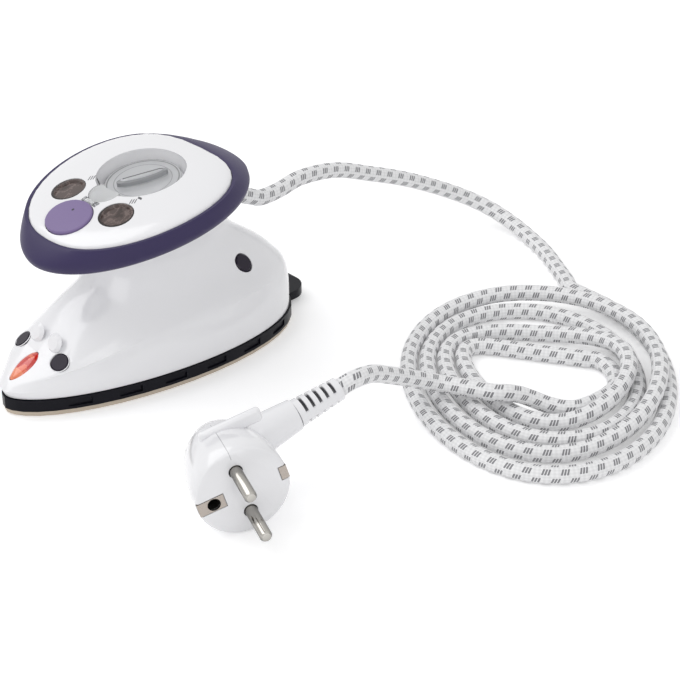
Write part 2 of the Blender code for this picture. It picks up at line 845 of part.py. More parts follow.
def make_skirt(look):
    outer = sole_egg().inset(-SKIRT_PROUD)
    inner = outer.inset(SKIRT_WALL)
    low, high = level(SKIRT_BOTTOM), level(SKIRT_TOP)
    rows = [outer.ring(low), outer.ring(high), inner.ring(high), inner.ring(low)]
    skirt = place("skirt", skin(rows, closed=True), look)
    unite(skirt, block(heel_rows()), "heel_tab")
    inside = inner.inset(GAP / 2)
    hollow = block([inside.ring(level(-OVERRUN)), inside.ring(level(SKIRT_TOP + OVERRUN))])
    cut(skirt, hollow, "inside")
    notches = []
    for along in NOTCH_SHARES:
        width, y = outer.at(along)
        ahead_width, ahead_y = outer.at(along + (1 - along) * VENT_SHARES[0][0])
        for side in (-1, 1):
            tangent = Vector((side * (ahead_width - width), ahead_y - y, 0)).normalized()
            centre = Vector((side * width, y, (NOTCH_BOTTOM + NOTCH_TOP) / 2))
            halves = (NOTCH_LENGTH / 2, NOTCH_DEPTH, (NOTCH_TOP - NOTCH_BOTTOM) / 2)
            notches.append(placed_box(centre, (tangent, UP.cross(tangent), UP), halves))
    cut(skirt, joined(*notches), "notches")
    return skirt


def heel_rows():
    """The rounded tab behind the heel, from its foot to its top."""
    outline = [(HEEL_HALF_WIDTH, HEEL_FRONT)]
    for index in range(SMALL_SIDES // 2 + 1):
        turn = math.pi / 2 * index / (SMALL_SIDES // 2)
        x = HEEL_HALF_WIDTH - HEEL_CORNER * (1 - math.cos(turn))
        outline.append((x, HEEL_REAR - HEEL_CORNER * (1 - math.sin(turn))))
    outline += [(-x, y) for x, y in reversed(outline)]
    low = SKIRT_BOTTOM
    return [
        [Vector((x, y, low)) for x, y in outline],
        [Vector((x, y, low + HEEL_THICKNESS)) for x, y in outline],
    ]


def make_body_shell(look, tree):
    outside = body_rings()
    inside = body_rings(BODY_WALL)
    shell = place("body_shell", skin([*outside, *reversed(inside)], closed=True), look)
    unite(shell, ears(tree), "ears")
    seats = []
    for side in (-1, 1):
        seats.append(plug_hole(tree, side * EYE_SIDE, EYE_PLACE, EYE_RADIUS))
        seats.append(plug_hole(tree, side * REAR_PLUG_SIDE, REAR_PLUG_PLACE, REAR_PLUG_RADIUS))
    cut(shell, joined(*seats), "plug_holes")
    base, normal = seat_on(tree, 0, LENS_PLACE)
    wide = LENS_HALF_WIDTH + FIT
    stretch = (LENS_HALF_LENGTH + FIT) / wide
    lens_hole = turned(base - normal * BODY_WALL * 2, normal, ((wide, 0), (wide, OVERRUN)), stretch=stretch)
    cut(shell, lens_hole, "lens_hole")
    axis = gland_axis()
    seat = gland_seat()
    hole = rod(seat - axis * OVERRUN / 2, seat + axis * OVERRUN, GLAND_RADIUS + GAP, ROUND_SIDES)
    cut(shell, hole, "gland_hole")
    return shell


def plug_hole(tree, x, y, radius):
    base, normal = seat_on(tree, x, y)
    return turned(base - normal * BODY_WALL * 2, normal, ((radius + FIT, 0), (radius + FIT, OVERRUN)))


def ears(tree):
    """Two small round ears that stand on the brow."""
    pieces = []
    for side in (-1, 1):
        foot, _ = seat_on(tree, side * EAR_SIDE, EAR_PLACE)
        centre = foot + UP * EAR_RISE
        axis = -tilted(90 + EAR_LEAN_DEG)
        axis = Vector((0, -abs(axis.y), abs(axis.z)))
        half = EAR_THICKNESS / 2
        profile = (
            (0, -half),
            (EAR_RADIUS * math.cos(math.pi / 4), -half * math.sin(math.pi / 3)),
            (EAR_RADIUS, 0),
            (EAR_RADIUS * math.cos(math.pi / 4), half * math.sin(math.pi / 3)),
            (0, half),
        )
        pieces.append(turned(centre, axis, profile, SMALL_SIDES, UP))
    return joined(*pieces)


def make_plug(name, tree, x, y, radius, look):
    base, normal = seat_on(tree, x, y)
    profile = (
        (radius, -PLUG_THICKNESS),
        (radius, 0),
        (radius * math.cos(math.pi / 6), PLUG_DOME),
        (0, PLUG_DOME),
    )
    return place(name, turned(base, normal, profile), look)


def make_lens(look, tree):
    base, normal = seat_on(tree, 0, LENS_PLACE)
    profile = (
        (LENS_HALF_WIDTH, -LENS_DEPTH),
        (LENS_HALF_WIDTH, 0),
        (LENS_HALF_WIDTH * math.cos(math.pi / 5), LENS_DOME * math.sin(math.pi / 4)),
        (LENS_HALF_WIDTH * math.sin(math.pi / 6), LENS_DOME),
        (0, LENS_DOME),
    )
    stretch = LENS_HALF_LENGTH / LENS_HALF_WIDTH
    return place("pilot_lens", turned(base, normal, profile, stretch=stretch), look)


def make_lamp(look, tree):
    base, normal = seat_on(tree, 0, LENS_PLACE)
    centre = base - normal * (LENS_DEPTH + GAP + LAMP_RADIUS)
    along = side_axes(normal, ALONG)[1] * (LAMP_LENGTH / 2)
    return place("pilot_lamp", rod(centre - along, centre + along, LAMP_RADIUS), look)


def gland_axis():
    angle = math.radians(GLAND_TILT_DEG)
    return Vector((0, math.cos(angle), -math.sin(angle)))


def gland_seat():
    return Vector((0, GLAND_PLACE, GLAND_HEIGHT))


def make_gland(look):
    flange = GLAND_RADIUS + GLAND_FLANGE
    profile = (
        (GLAND_RADIUS, -GLAND_TAIL),
        (GLAND_RADIUS, GLAND_FLANGE),
        (flange, GLAND_FLANGE),
        (flange, GLAND_FLANGE * 2),
        (GLAND_RADIUS, GLAND_FLANGE * 2),
        (GLAND_END_RADIUS, GLAND_LENGTH),
    )
    return place("cord_gland", turned(gland_seat(), gland_axis(), profile, long_axis=UP), look)


def make_inner_lead(look):
    """The lead from the gland down the neck to the terminal block."""
    start = gland_seat() - gland_axis() * (GLAND_TAIL + GAP)
    end = Vector((0, BLOCK_PLACE, block_foot() + BLOCK_HEIGHT + FIT))
    route = [start, start - gland_axis() * LEAD_RADIUS]
    route += [Vector(point) for point in LEAD_ROUTE]
    route += [end + UP * LEAD_RADIUS, end]
    return place("inner_lead", sweep(smooth(route, LEAD_RADIUS * 3), LEAD_RADIUS, TUBE_SIDES), look)


def make_grip_rim(look):
    edge, rim = edge_egg(), rim_egg()
    under = rim.inset(RIM_UNDER_INSET)
    lip = edge.inset(RIM_LIP)
    rows = [
        edge.ring(rim_line(RIM_DEPTH)),
        edge.blend(rim, 0.55).ring(rim_line(RIM_DEPTH * 0.66)),
        rim.inset(RIM_LIP * 0.1).ring(rim_line(RIM_DEPTH * 0.22)),
        rim.ring(rim_line(0)),
        rim.inset(RIM_UNDER_INSET * 0.12).ring(rim_line(-RIM_UNDER_DROP * 0.45)),
        rim.inset(RIM_UNDER_INSET * 0.5).ring(rim_line(-RIM_UNDER_DROP * 0.86)),
        under.ring(rim_line(-RIM_UNDER_DROP)),
        under.ring(rim_line(-RIM_UNDER_DROP + RIM_WALL)),
        lip.inset(RIM_WALL).blend(under, 0.5).ring(rim_line(0)),
        lip.ring(rim_line(RIM_DEPTH - RIM_WALL * 1.6)),
        lip.ring(rim_line(RIM_DEPTH - RIM_LIP * 0.1)),
    ]
    return place("grip_rim", skin(rows, closed=True), look)


def make_pan(look):
    outer = rim_egg().inset(RIM_UNDER_INSET + GAP * 3)
    inner = outer.inset(PAN_WALL)
    shelf = rim_egg().inset(PAN_SHELF_INSET)
    shelf_inner = shelf.inset(PAN_WALL)
    neck = neck_top_egg()
    neck_inner = neck.inset(PAN_WALL)
    wall_top = -RIM_UNDER_DROP + RIM_WALL
    bend = -(RIM_UNDER_DROP + PAN_DROP) / 2
    rows = [
        outer.ring(rim_line(wall_top)),
        outer.ring(rim_line(-RIM_UNDER_DROP)),
        shelf.ring(rim_line(bend)),
        neck.ring(rim_line(-PAN_DROP)),
        neck_inner.ring(rim_line(-PAN_DROP)),
        neck_inner.inset(-PAN_WALL / 2).ring(rim_line(-PAN_DROP + PAN_WALL)),
        shelf_inner.ring(rim_line(bend + PAN_WALL)),
        inner.ring(rim_line(-RIM_UNDER_DROP + PAN_WALL)),
        inner.ring(rim_line(wall_top)),
    ]
    return place("handle_pan", skin(rows, closed=True), look)


def cover_rows(inset):
    """The cover's dome from its edge to its crown; the inset goes in and down."""
    outline = edge_egg().inset(RIM_LIP + GAP + inset)
    rows = [outline.ring(rim_line(RIM_DEPTH - COVER_LIP))]
    for share in DOME_SHARES[1:] if inset else DOME_SHARES:
        rise = DOME_HEIGHT * math.sqrt(1 - share * share)
        rows.append(outline.scaled(share, DOME_CENTRE).ring(rim_line(RIM_DEPTH + rise - inset)))
    crown = rim_line(RIM_DEPTH + DOME_HEIGHT - inset)(DOME_CENTRE)
    return [*rows, [Vector((0, DOME_CENTRE, crown))]]


def lid_axis():
    return tilted(LID_TILT_DEG)


def lid_centre(tree):
    """The middle of the lid's top face, a little under the crown."""
    base, _ = seat_on(tree, 0, LID_PLACE)
    return base - lid_axis() * LID_SINK


def beside_lid(tree, place_y, height):
    """A point on the lid's plane at the given y, raised along the lid's axis."""
    centre = lid_centre(tree)
    along = side_axes(lid_axis(), ALONG)[1]
    return centre + along * ((place_y - centre.y) / along.y) + lid_axis() * height


def button_centre(tree):
    return seat_on(tree, 0, BUTTON_PLACE)[0]


def make_cover(look, tree):
    rows = cover_rows(0)
    inner = cover_rows(COVER_WALL)
    cover = place("handle_cover", skin([*rows, *reversed(inner)], closed=True), look)
    axis, centre = dial_axis(), dial_centre()
    cup_floor = (DISH_FLOOR_RADIUS + DISH_WALL, -DISH_DEPTH - DISH_WALL)
    cup_rim = (DISH_RADIUS + DISH_WALL, DISH_RISE + DISH_WALL / 2)
    unite(cover, turned(centre, axis, (cup_floor, cup_rim)), "dish_cup")
    filler = beside_lid(tree, FILLER_PLACE, 0)
    boss = LID_RADIUS + LID_CLEARANCE + LID_BOSS_WALL
    sunk = -LID_BOSS
    top = -LID_THICKNESS
    unite(cover, turned(lid_centre(tree), lid_axis(), ((boss, sunk), (boss, top))), "lid_boss")
    recess = LID_RADIUS + LID_CLEARANCE
    lid_profile = ((recess, -LID_RECESS), (recess, OVERRUN))
    cut(cover, turned(lid_centre(tree), lid_axis(), lid_profile), "lid_recess")
    dish = ((DISH_FLOOR_RADIUS, -DISH_DEPTH), (DISH_RADIUS, DISH_RISE), (DISH_RADIUS, OVERRUN))
    cut(cover, turned(centre, axis, dish, RING_POINTS), "dish")
    bore_profile = ((FILLER_RADIUS, -OVERRUN), (FILLER_RADIUS, OVERRUN))
    cut(cover, turned(filler, lid_axis(), bore_profile), "filler_bore")
    pin = lid_pin_centre(tree)
    half = ACROSS * (LID_PIN_LENGTH / 2 + GAP)
    cut(cover, rod(pin - half, pin + half, KNUCKLE_RADIUS + GAP), "hinge_slot")
    shaft = SHAFT_RADIUS + GAP
    cut(cover, turned(centre, axis, ((shaft, -OVERRUN), (shaft, OVERRUN))), "shaft_hole")
    windows = []
    for side in (-1, 1):
        base, normal = seat_on(tree, side * WINDOW_SIDE, WINDOW_PLACE)
        radius = WINDOW_RADIUS + GAP
        windows.append(turned(base, normal, ((radius, -COVER_WALL * 4), (radius, OVERRUN))))
    cut(cover, joined(*windows), "window_holes")
    wide = BUTTON_HALF_WIDTH + GAP
    stretch = (BUTTON_HALF_LENGTH + GAP) / wide
    hole = turned(
        button_centre(tree),
        tilted(BUTTON_TILT_DEG),
        ((wide, -OVERRUN / 2), (wide, OVERRUN)),
        stretch=stretch,
    )
    cut(cover, hole, "button_hole")
    return cover


def make_scale_ring(look):
    low = -DISH_DEPTH + GAP
    high = low + SCALE_THICKNESS
    edge = DISH_FLOOR_RADIUS - GAP
    profile = ((SCALE_BORE, low), (edge, low), (edge, high), (SCALE_BORE, high))
    return place("dial_scale_ring", tube_wall(dial_centre(), dial_axis(), profile), look)


def make_dial(look):
    centre, axis = dial_centre(), dial_axis()
    disc = turned(centre, axis, ((DIAL_RADIUS, -DIAL_THICKNESS), (DIAL_RADIUS, 0)))
    dial = place("temperature_dial", disc, look, centre)
    turn = math.radians(FIN_TURN_DEG)
    hint = Vector((math.sin(turn), math.cos(turn), 0))
    narrow = FIN_HALF_WIDTH * math.cos(math.pi / 4)
    profile = (
        (FIN_HALF_WIDTH, -DIAL_THICKNESS / 2),
        (FIN_HALF_WIDTH, FIN_HEIGHT * math.sin(math.pi / 4)),
        (narrow, FIN_HEIGHT),
        (0, FIN_HEIGHT),
    )
    fin = turned(centre, axis, profile, long_axis=hint, stretch=FIN_HALF_LENGTH / FIN_HALF_WIDTH)
    unite(dial, fin, "fin")
    return dial


def make_shaft(look):
    top = dial_centre() - dial_axis() * (DIAL_THICKNESS + GAP)
    foot = on_dial_axis(thermostat_top() + THERMOSTAT_BOSS_HEIGHT + SHAFT_RADIUS)
    return place("thermostat_shaft", rod(foot, top, SHAFT_RADIUS), look, dial_centre())


def lid_pin_centre(tree):
    front = LID_PLACE - LID_RADIUS - KNUCKLE_RADIUS / 2
    return beside_lid(tree, front, -LID_THICKNESS / 2)


def make_lid(look, tree):
    pin = lid_pin_centre(tree)
    centre = lid_centre(tree)
    plate = turned(centre, lid_axis(), ((LID_RADIUS, -LID_THICKNESS), (LID_RADIUS, 0)))
    lid = place("filler_lid", plate, look, pin)
    half = ACROSS * (KNUCKLE_LENGTH / 2)
    unite(lid, rod(pin - half, pin + half, KNUCKLE_RADIUS), "knuckle")
    cut(lid, rod(pin - half * 2, pin + half * 2, LID_PIN_RADIUS + GAP), "pin_bore")
    swept = DIAL_RADIUS + LID_CLEARANCE
    sweep_cut = turned(dial_centre(), dial_axis(), ((swept, -OVERRUN), (swept, OVERRUN)))
    cut(lid, sweep_cut, "dial_clearance")
    return lid


def make_lid_pin(look, tree):
    pin = lid_pin_centre(tree)
    half = ACROSS * (LID_PIN_LENGTH / 2)
    return place("filler_lid_pin", rod(pin - half, pin + half, LID_PIN_RADIUS), look)


def make_funnel(look, tree):
    top = beside_lid(tree, FILLER_PLACE, -LID_BOSS - GAP)
    inner = FILLER_RADIUS
    outer = FILLER_RADIUS + FILLER_WALL
    tank_top = rim_line(TANK_RISE)(FILLER_PLACE)
    length = (top.z - tank_top) + TANK_WALL + FILLER_WALL
    profile = ((inner, -length), (outer, -length), (outer, 0), (inner, 0))
    return place("filler_funnel", tube_wall(top, lid_axis(), profile), look)


def make_windows(look, tree):
    made = []
    for name, side in (("left", -1), ("right", 1)):
        base, normal = seat_on(tree, side * WINDOW_SIDE, WINDOW_PLACE)
        tank_top = rim_line(TANK_RISE)(base.y)
        foot = -(base.z - tank_top) / normal.z + WINDOW_RADIUS * math.sqrt(1 - normal.z**2) + GAP * 2
        pane = WINDOW_RADIUS - WINDOW_FRAME
        profile = (
            (pane, foot),
            (pane, -COVER_WALL * 2),
            (WINDOW_RADIUS, -COVER_WALL * 2),
            (WINDOW_RADIUS, -WINDOW_SINK / 4),
            (pane, -WINDOW_SINK / 4),
            (pane * math.cos(math.pi / 8), -WINDOW_SINK),
            (0, -WINDOW_SINK),
        )
        made.append(place(f"water_window_{name}", turned(base, normal, profile), look))
    return made


def make_button(look, tree):
    axis, centre = tilted(BUTTON_TILT_DEG), button_centre(tree)
    stretch = BUTTON_HALF_LENGTH / BUTTON_HALF_WIDTH
    bevel = BUTTON_RISE / 3
    rim = BUTTON_HALF_WIDTH - BUTTON_SKIN
    profile = (
        (0, -BUTTON_SKIN),
        (rim, -BUTTON_SKIN),
        (rim, -BUTTON_DEPTH),
        (BUTTON_HALF_WIDTH, -BUTTON_DEPTH),
        (BUTTON_HALF_WIDTH, bevel),
        (BUTTON_HALF_WIDTH - bevel, bevel * 2),
        (BUTTON_HALF_WIDTH / 2, BUTTON_RISE),
        (0, BUTTON_RISE),
    )
    rows = turned_rows(centre, axis, profile, ROUND_SIDES, ALONG, stretch)
    return place("steam_button", skin(rows), look, centre)


def make_piston(look, tree):
    axis, centre = tilted(BUTTON_TILT_DEG), button_centre(tree)
    head = PUMP_BORE - FIT
    low = -(PUMP_BOTTOM - PUMP_FLOOR - BUTTON_TRAVEL - GAP * 2)
    profile = (
        (head, low),
        (head, low + PISTON_HEAD),
        (PISTON_ROD, low + PISTON_HEAD),
        (PISTON_ROD, -BUTTON_SKIN - GAP),
    )
    return place("pump_piston", turned(centre, axis, profile, SMALL_SIDES), look, centre)


def make_pump(look, tree):
    axis, centre = tilted(BUTTON_TILT_DEG), button_centre(tree)
    floor = -PUMP_BOTTOM + PUMP_FLOOR
    profile = (
        (0, -PUMP_BOTTOM),
        (PUMP_RADIUS, -PUMP_BOTTOM),
        (PUMP_RADIUS, -PUMP_TOP - PUMP_FLANGE),
        (PUMP_FLANGE_RADIUS, -PUMP_TOP - PUMP_FLANGE),
        (PUMP_FLANGE_RADIUS, -PUMP_TOP),
        (PUMP_BORE, -PUMP_TOP),
        (PUMP_BORE, floor),
        (0, floor),
    )
    rows = turned_rows(centre, axis, profile, ROUND_SIDES, ALONG, 1)
    return place("pump_body", skin(rows), look)


def make_spring(look, tree):
    """The button's spring, which stands on the pump's flange."""
    axis, centre = tilted(BUTTON_TILT_DEG), button_centre(tree)
    across, along = side_axes(axis, ALONG)
    low = -PUMP_TOP + GAP + SPRING_WIRE
    high = -BUTTON_SKIN - BUTTON_TRAVEL - GAP - SPRING_WIRE
    steps = round(SPRING_TURNS * SPRING_POINTS_PER_TURN)
    points = []
    for index in range(steps + 1):
        turn = 2 * math.pi * index / SPRING_POINTS_PER_TURN
        sideways = across * math.cos(turn) + along * math.sin(turn)
        points.append(centre + sideways * SPRING_RADIUS + axis * (low + (high - low) * index / steps))
    return place("button_spring", sweep(points, SPRING_WIRE, SMALL_SIDES // 2), look)


def tank_egg():
    return Egg(TANK_FRONT, TANK_REAR, TANK_HALF_WIDTH, TANK_SHARES)


def make_tank(look, tree):
    outer = tank_egg()
    inner = outer.inset(TANK_WALL)
    tank = place(
        "water_tank",
        fanned_block([outer.ring(rim_line(-TANK_DROP)), outer.ring(rim_line(TANK_RISE))]),
        look,
    )
    hollow = fanned_block([
        inner.ring(rim_line(-TANK_DROP + TANK_WALL)),
        inner.ring(rim_line(TANK_RISE - TANK_WALL)),
    ])
    cut(tank, hollow, "inside")
    funnel = beside_lid(tree, FILLER_PLACE, -LID_BOSS)
    hole = FILLER_RADIUS + FILLER_WALL + GAP
    cut(tank, turned(funnel, lid_axis(), ((hole, -LID_BOSS), (hole, OVERRUN))), "filler_hole")
    outlet = pipe_top()
    cut(tank, rod(outlet - UP * OVERRUN / 4, outlet + UP * TANK_WALL * 2, PIPE_RADIUS + GAP), "outlet")
    return tank


def pipe_top():
    return Vector((PIPE_SIDE, PIPE_PLACE, rim_line(-TANK_DROP + TANK_WALL)(PIPE_PLACE)))


def make_pipe(look):
    low, high = pipe_foot(), pipe_top()
    bore = PIPE_RADIUS / 2
    length = high.z - low.z
    profile = ((bore, 0), (PIPE_RADIUS, 0), (PIPE_RADIUS, length), (bore, length))
    return place("water_feed_pipe", tube_wall(low, UP, profile, SMALL_SIDES), look)


# Cord
def smooth(points, step):
    """Points about one step apart on a Catmull-Rom curve through the given points."""
    ends = [points[0] * 2 - points[1], *points, points[-1] * 2 - points[-2]]
    result = [points[0]]
    for index in range(1, len(ends) - 2):
        before, start, end, after = ends[index - 1 : index + 3]
        count = max(1, round((end - start).length / step))
        for part in range(1, count + 1):
            result.append(hermite(before, start, end, after, part / count))
    return result


def hermite(before, start, end, after, share):
    chord = (end - start).length
    lead = (end - before) * (chord / ((end - start).length + (start - before).length))
    leave = (after - start) * (chord / ((after - end).length + chord))
    square, cube = share**2, share**3
    return (
        start * (2 * cube - 3 * square + 1)
        + lead * (cube - 2 * square + share)
        + end * (3 * square - 2 * cube)
        + leave * (cube - square)
    )


def eased(values, position):
    """A value between two neighbours of a list, with no slope at either."""
    index = min(int(position), len(values) - 2)
    share = position - index
    return values[index] + (values[index + 1] - values[index]) * (3 * share**2 - 2 * share**3)


def coil_point(turns):
    """The middle of the cord after so many turns, clockwise from the far side."""
    side_reach = eased((COIL_SIDE_REACHES[0], *COIL_SIDE_REACHES), turns * 2 + 1 / 2)
    skew = eased((COIL_SKEW_SHARES[0], *COIL_SKEW_SHARES), turns * 2 + 1 / 2)
    end_reach = eased(COIL_END_REACHES, turns * 2)
    lift = eased(COIL_LIFT_SHARES, turns * 4)
    angle = 2 * math.pi * turns
    right = side_reach * math.sin(angle)
    far = end_reach * math.cos(angle) - skew * right + COIL_SHIFT
    heading = math.radians(COIL_TURN_DEG)
    x = COIL_CENTRE[0] + right * math.cos(heading) - far * math.sin(heading)
    y = COIL_CENTRE[1] + right * math.sin(heading) + far * math.cos(heading)
    return Vector((x, y, COIL_LIFT + COIL_LAYER * lift))


def coil_points():
    """The coil's middle line, with an end piece one diameter long and straight at each end."""
    count = round((COIL_END_SHARE - COIL_START_SHARE) * COIL_POINTS_PER_LOOP)
    span = COIL_END_SHARE - COIL_START_SHARE
    points = [coil_point(COIL_START_SHARE + span * index / count) for index in range(count + 1)]
    first = (points[0] - points[1]).normalized()
    last = (points[-1] - points[-2]).normalized()
    first.z = 0
    last.z = 0
    return [points[0] + first * CORD_DIAMETER, *points, points[-1] + last * CORD_DIAMETER]


def least_gap(points, diameter):
    """The least gap between the cord's turns, between points more than three diameters apart."""
    runs = [0.0]
    for before, after in zip(points, points[1:]):
        runs.append(runs[-1] + (after - before).length)
    least = None
    for index, point in enumerate(points):
        for other in range(index + 1, len(points) - 1):
            if runs[other] - runs[index] < diameter * 3:
                continue
            start, end = points[other], points[other + 1]
            edge = end - start
            share = max(0, min(1, (point - start).dot(edge) / edge.length_squared))
            distance = (start + edge * share - point).length - diameter
            least = distance if least is None else min(least, distance)
    return least


def cord_object(name, points, look, resolution):
    curve = bpy.data.curves.new(name, "CURVE")
    curve.dimensions = "3D"
    curve.bevel_depth = CORD_DIAMETER / 2
    curve.bevel_resolution = resolution
    curve.use_fill_caps = True
    spline = curve.splines.new("POLY")
    spline.points.add(len(points) - 1)
    for target, point in zip(spline.points, points):
        target.co = (*point, 1)
    curve.materials.append(look)
    made = bpy.data.objects.new(name, curve)
    bpy.context.scene.collection.objects.link(made)
    return made


def length_of(points):
    return sum((after - before).length for before, after in zip(points, points[1:]))


def make_cord(look):
    coil = coil_points()
    gap = least_gap(coil, CORD_DIAMETER)
    print(f"least gap between turns {gap * 1000:.2f} mm, wanted {COIL_GAP_LIMIT * 1000:.2f} mm")
    cord_object("cord_coil", coil, look, 1)

    into = (coil[0] - coil[1]).normalized()
    iron_end = coil[0] + into * GAP
    iron_start = gland_seat() + gland_axis() * (GLAND_LENGTH + GAP)
    iron = [iron_start, iron_start + gland_axis() * CORD_DIAMETER]
    iron += [Vector(point) for point in IRON_ROUTE]
    iron += [iron_end + into * CORD_DIAMETER, iron_end]
    iron = smooth(iron, CORD_STEP)
    cord_object("cord_iron_stretch", iron, look, 3)

    out_of = (coil[-1] - coil[-2]).normalized()
    plug_start = coil[-1] + out_of * GAP
    plug_end = relief_end() + neck_axis() * GAP
    plug = [plug_start, plug_start + out_of * CORD_DIAMETER]
    plug += [Vector(point) for point in PLUG_ROUTE]
    plug += [plug_end + neck_axis() * CORD_DIAMETER, plug_end]
    plug = smooth(plug, CORD_STEP)
    cord_object("cord_plug_stretch", plug, look, 3)
    total = length_of(iron) + length_of(coil) + length_of(plug)
    print(f"cord length {total:.3f} m")
    return iron, coil, plug


# Plug
def face_centre():
    return Vector(FACE_CENTRE)


def face_normal():
    return Vector(FACE_NORMAL).normalized()


def pin_line():
    normal = face_normal()
    line = Vector(PIN_LINE)
    return (line - normal * line.dot(normal)).normalized()


def earth_line():
    """Square to the pins' line on the face; it points to the cord's side."""
    return pin_line().cross(face_normal())


def neck_axis():
    lean = math.radians(NECK_LEAN_DEG)
    return (earth_line() * math.cos(lean) - face_normal() * math.sin(lean)).normalized()


def neck_base():
    return face_centre() - face_normal() * NECK_BACK


def relief_start():
    return neck_base() + neck_axis() * (NECK_END + GAP)


def relief_end():
    return relief_start() + neck_axis() * RELIEF_LENGTH


def make_plug_body(look):
    normal = face_normal()
    profile = [(FACE_RADIUS * share, -PLUG_BACK * depth) for share, depth in PLUG_PROFILE_SHARES]
    profile[0] = (FACE_RADIUS, -FACE_BEVEL)
    profile = [*reversed(profile), (FACE_RADIUS - FACE_BEVEL, 0)]
    body = place("plug_body", turned(face_centre(), normal, profile, long_axis=earth_line()), look)
    rows = []
    for share, height in ((1.0, NECK_START), (1.0, NECK_END / 2), (NECK_END_SHARE, NECK_END)):
        wide, deep = NECK_HALF_WIDTH * share, NECK_HALF_DEPTH * share
        centre = neck_base() + neck_axis() * height
        row = []
        for index in range(ROUND_SIDES):
            turn = 2 * math.pi * index / ROUND_SIDES
            back = side_axes(neck_axis(), normal)[1] * (math.sin(turn) * deep)
            row.append(centre + pin_line() * (math.cos(turn) * wide) + back)
        rows.append(row)
    unite(body, block(rows), "neck")
    holes = []
    for side in (-1, 1):
        foot = face_centre() + pin_line() * (PIN_SPREAD * side) - normal * (PIN_ROOT + GAP)
        holes.append(rod(foot, foot + normal * OVERRUN, PIN_RADIUS + FIT))
    hole = face_centre() - earth_line() * EARTH_HOLE_PLACE
    holes.append(rod(hole - normal * EARTH_HOLE_DEPTH, hole + normal * OVERRUN, EARTH_HOLE_RADIUS))
    cut(body, joined(*holes), "bores")
    grooves = [earth_slab(-1, EARTH_START, GAP), earth_slab(1, CLIP_START, GAP)]
    cut(body, joined(*grooves), "earth_grooves")
    return body


def earth_slab(side, start, clearance):
    """A plate let into the face, from a distance off its middle out to the rim, and down the side."""
    outward = earth_line() * side
    normal = face_normal()
    end = FACE_RADIUS + (OVERRUN if clearance else -EARTH_THICKNESS / 4)
    middle = (start - clearance + end) / 2
    half = (end - start + clearance) / 2
    raised = OVERRUN if clearance else 0
    low = EARTH_THICKNESS + clearance
    centre = face_centre() + outward * middle + normal * ((raised - low) / 2)
    axes = (outward, pin_line(), outward.cross(pin_line()))
    halves = (half, EARTH_WIDTH / 2 + clearance, (raised + low) / 2)
    return placed_box(centre, axes, halves)


def make_earth_pieces(look):
    strip = place("earth_strip", earth_slab(-1, EARTH_START, 0), look)
    hole = face_centre() - earth_line() * EARTH_HOLE_PLACE
    reach = face_normal() * OVERRUN / 2
    cut(strip, rod(hole - reach, hole + reach, EARTH_HOLE_RADIUS), "contact_hole")
    clip = place("earth_clip", earth_slab(1, CLIP_START, 0), look)
    return strip, clip


def make_pins(look):
    made = []
    for name, side in (("upper", 1), ("lower", -1)):
        foot = face_centre() + pin_line() * (PIN_SPREAD * side) - face_normal() * PIN_ROOT
        reach = PIN_ROOT + PIN_LENGTH
        profile = (
            (PIN_RADIUS, 0),
            (PIN_RADIUS, reach - PIN_TIP),
            (PIN_RADIUS * math.cos(math.pi / 4), reach - PIN_TIP * (1 - math.sin(math.pi / 4))),
            (0, reach),
        )
        made.append(place(f"plug_pin_{name}", turned(foot, face_normal(), profile, SMALL_SIDES), look))
    return made


def make_relief(look):
    axis = neck_axis()
    profile = ((RELIEF_RADIUS, 0), (RELIEF_END_RADIUS, RELIEF_LENGTH))
    relief = place("plug_strain_relief", turned(relief_start(), axis, profile, long_axis=pin_line()), look)
    pitch = RELIEF_LENGTH / (RELIEF_SLOTS + 1)
    side = pin_line()
    back = side.cross(axis)
    slots = []
    for number in range(RELIEF_SLOTS):
        centre = relief_start() + axis * (pitch * (number + 1))
        core = RELIEF_RADIUS * RELIEF_CORE_SHARE
        for direction in (-1, 1):
            halves = (RELIEF_RADIUS, RELIEF_RADIUS, pitch * RELIEF_SLOT_SHARE / 2)
            middle = centre + side * (direction * (core + RELIEF_RADIUS))
            slots.append(placed_box(middle, (side, back, side.cross(back)), halves))
    cut(relief, joined(*slots), "slots")
    return relief


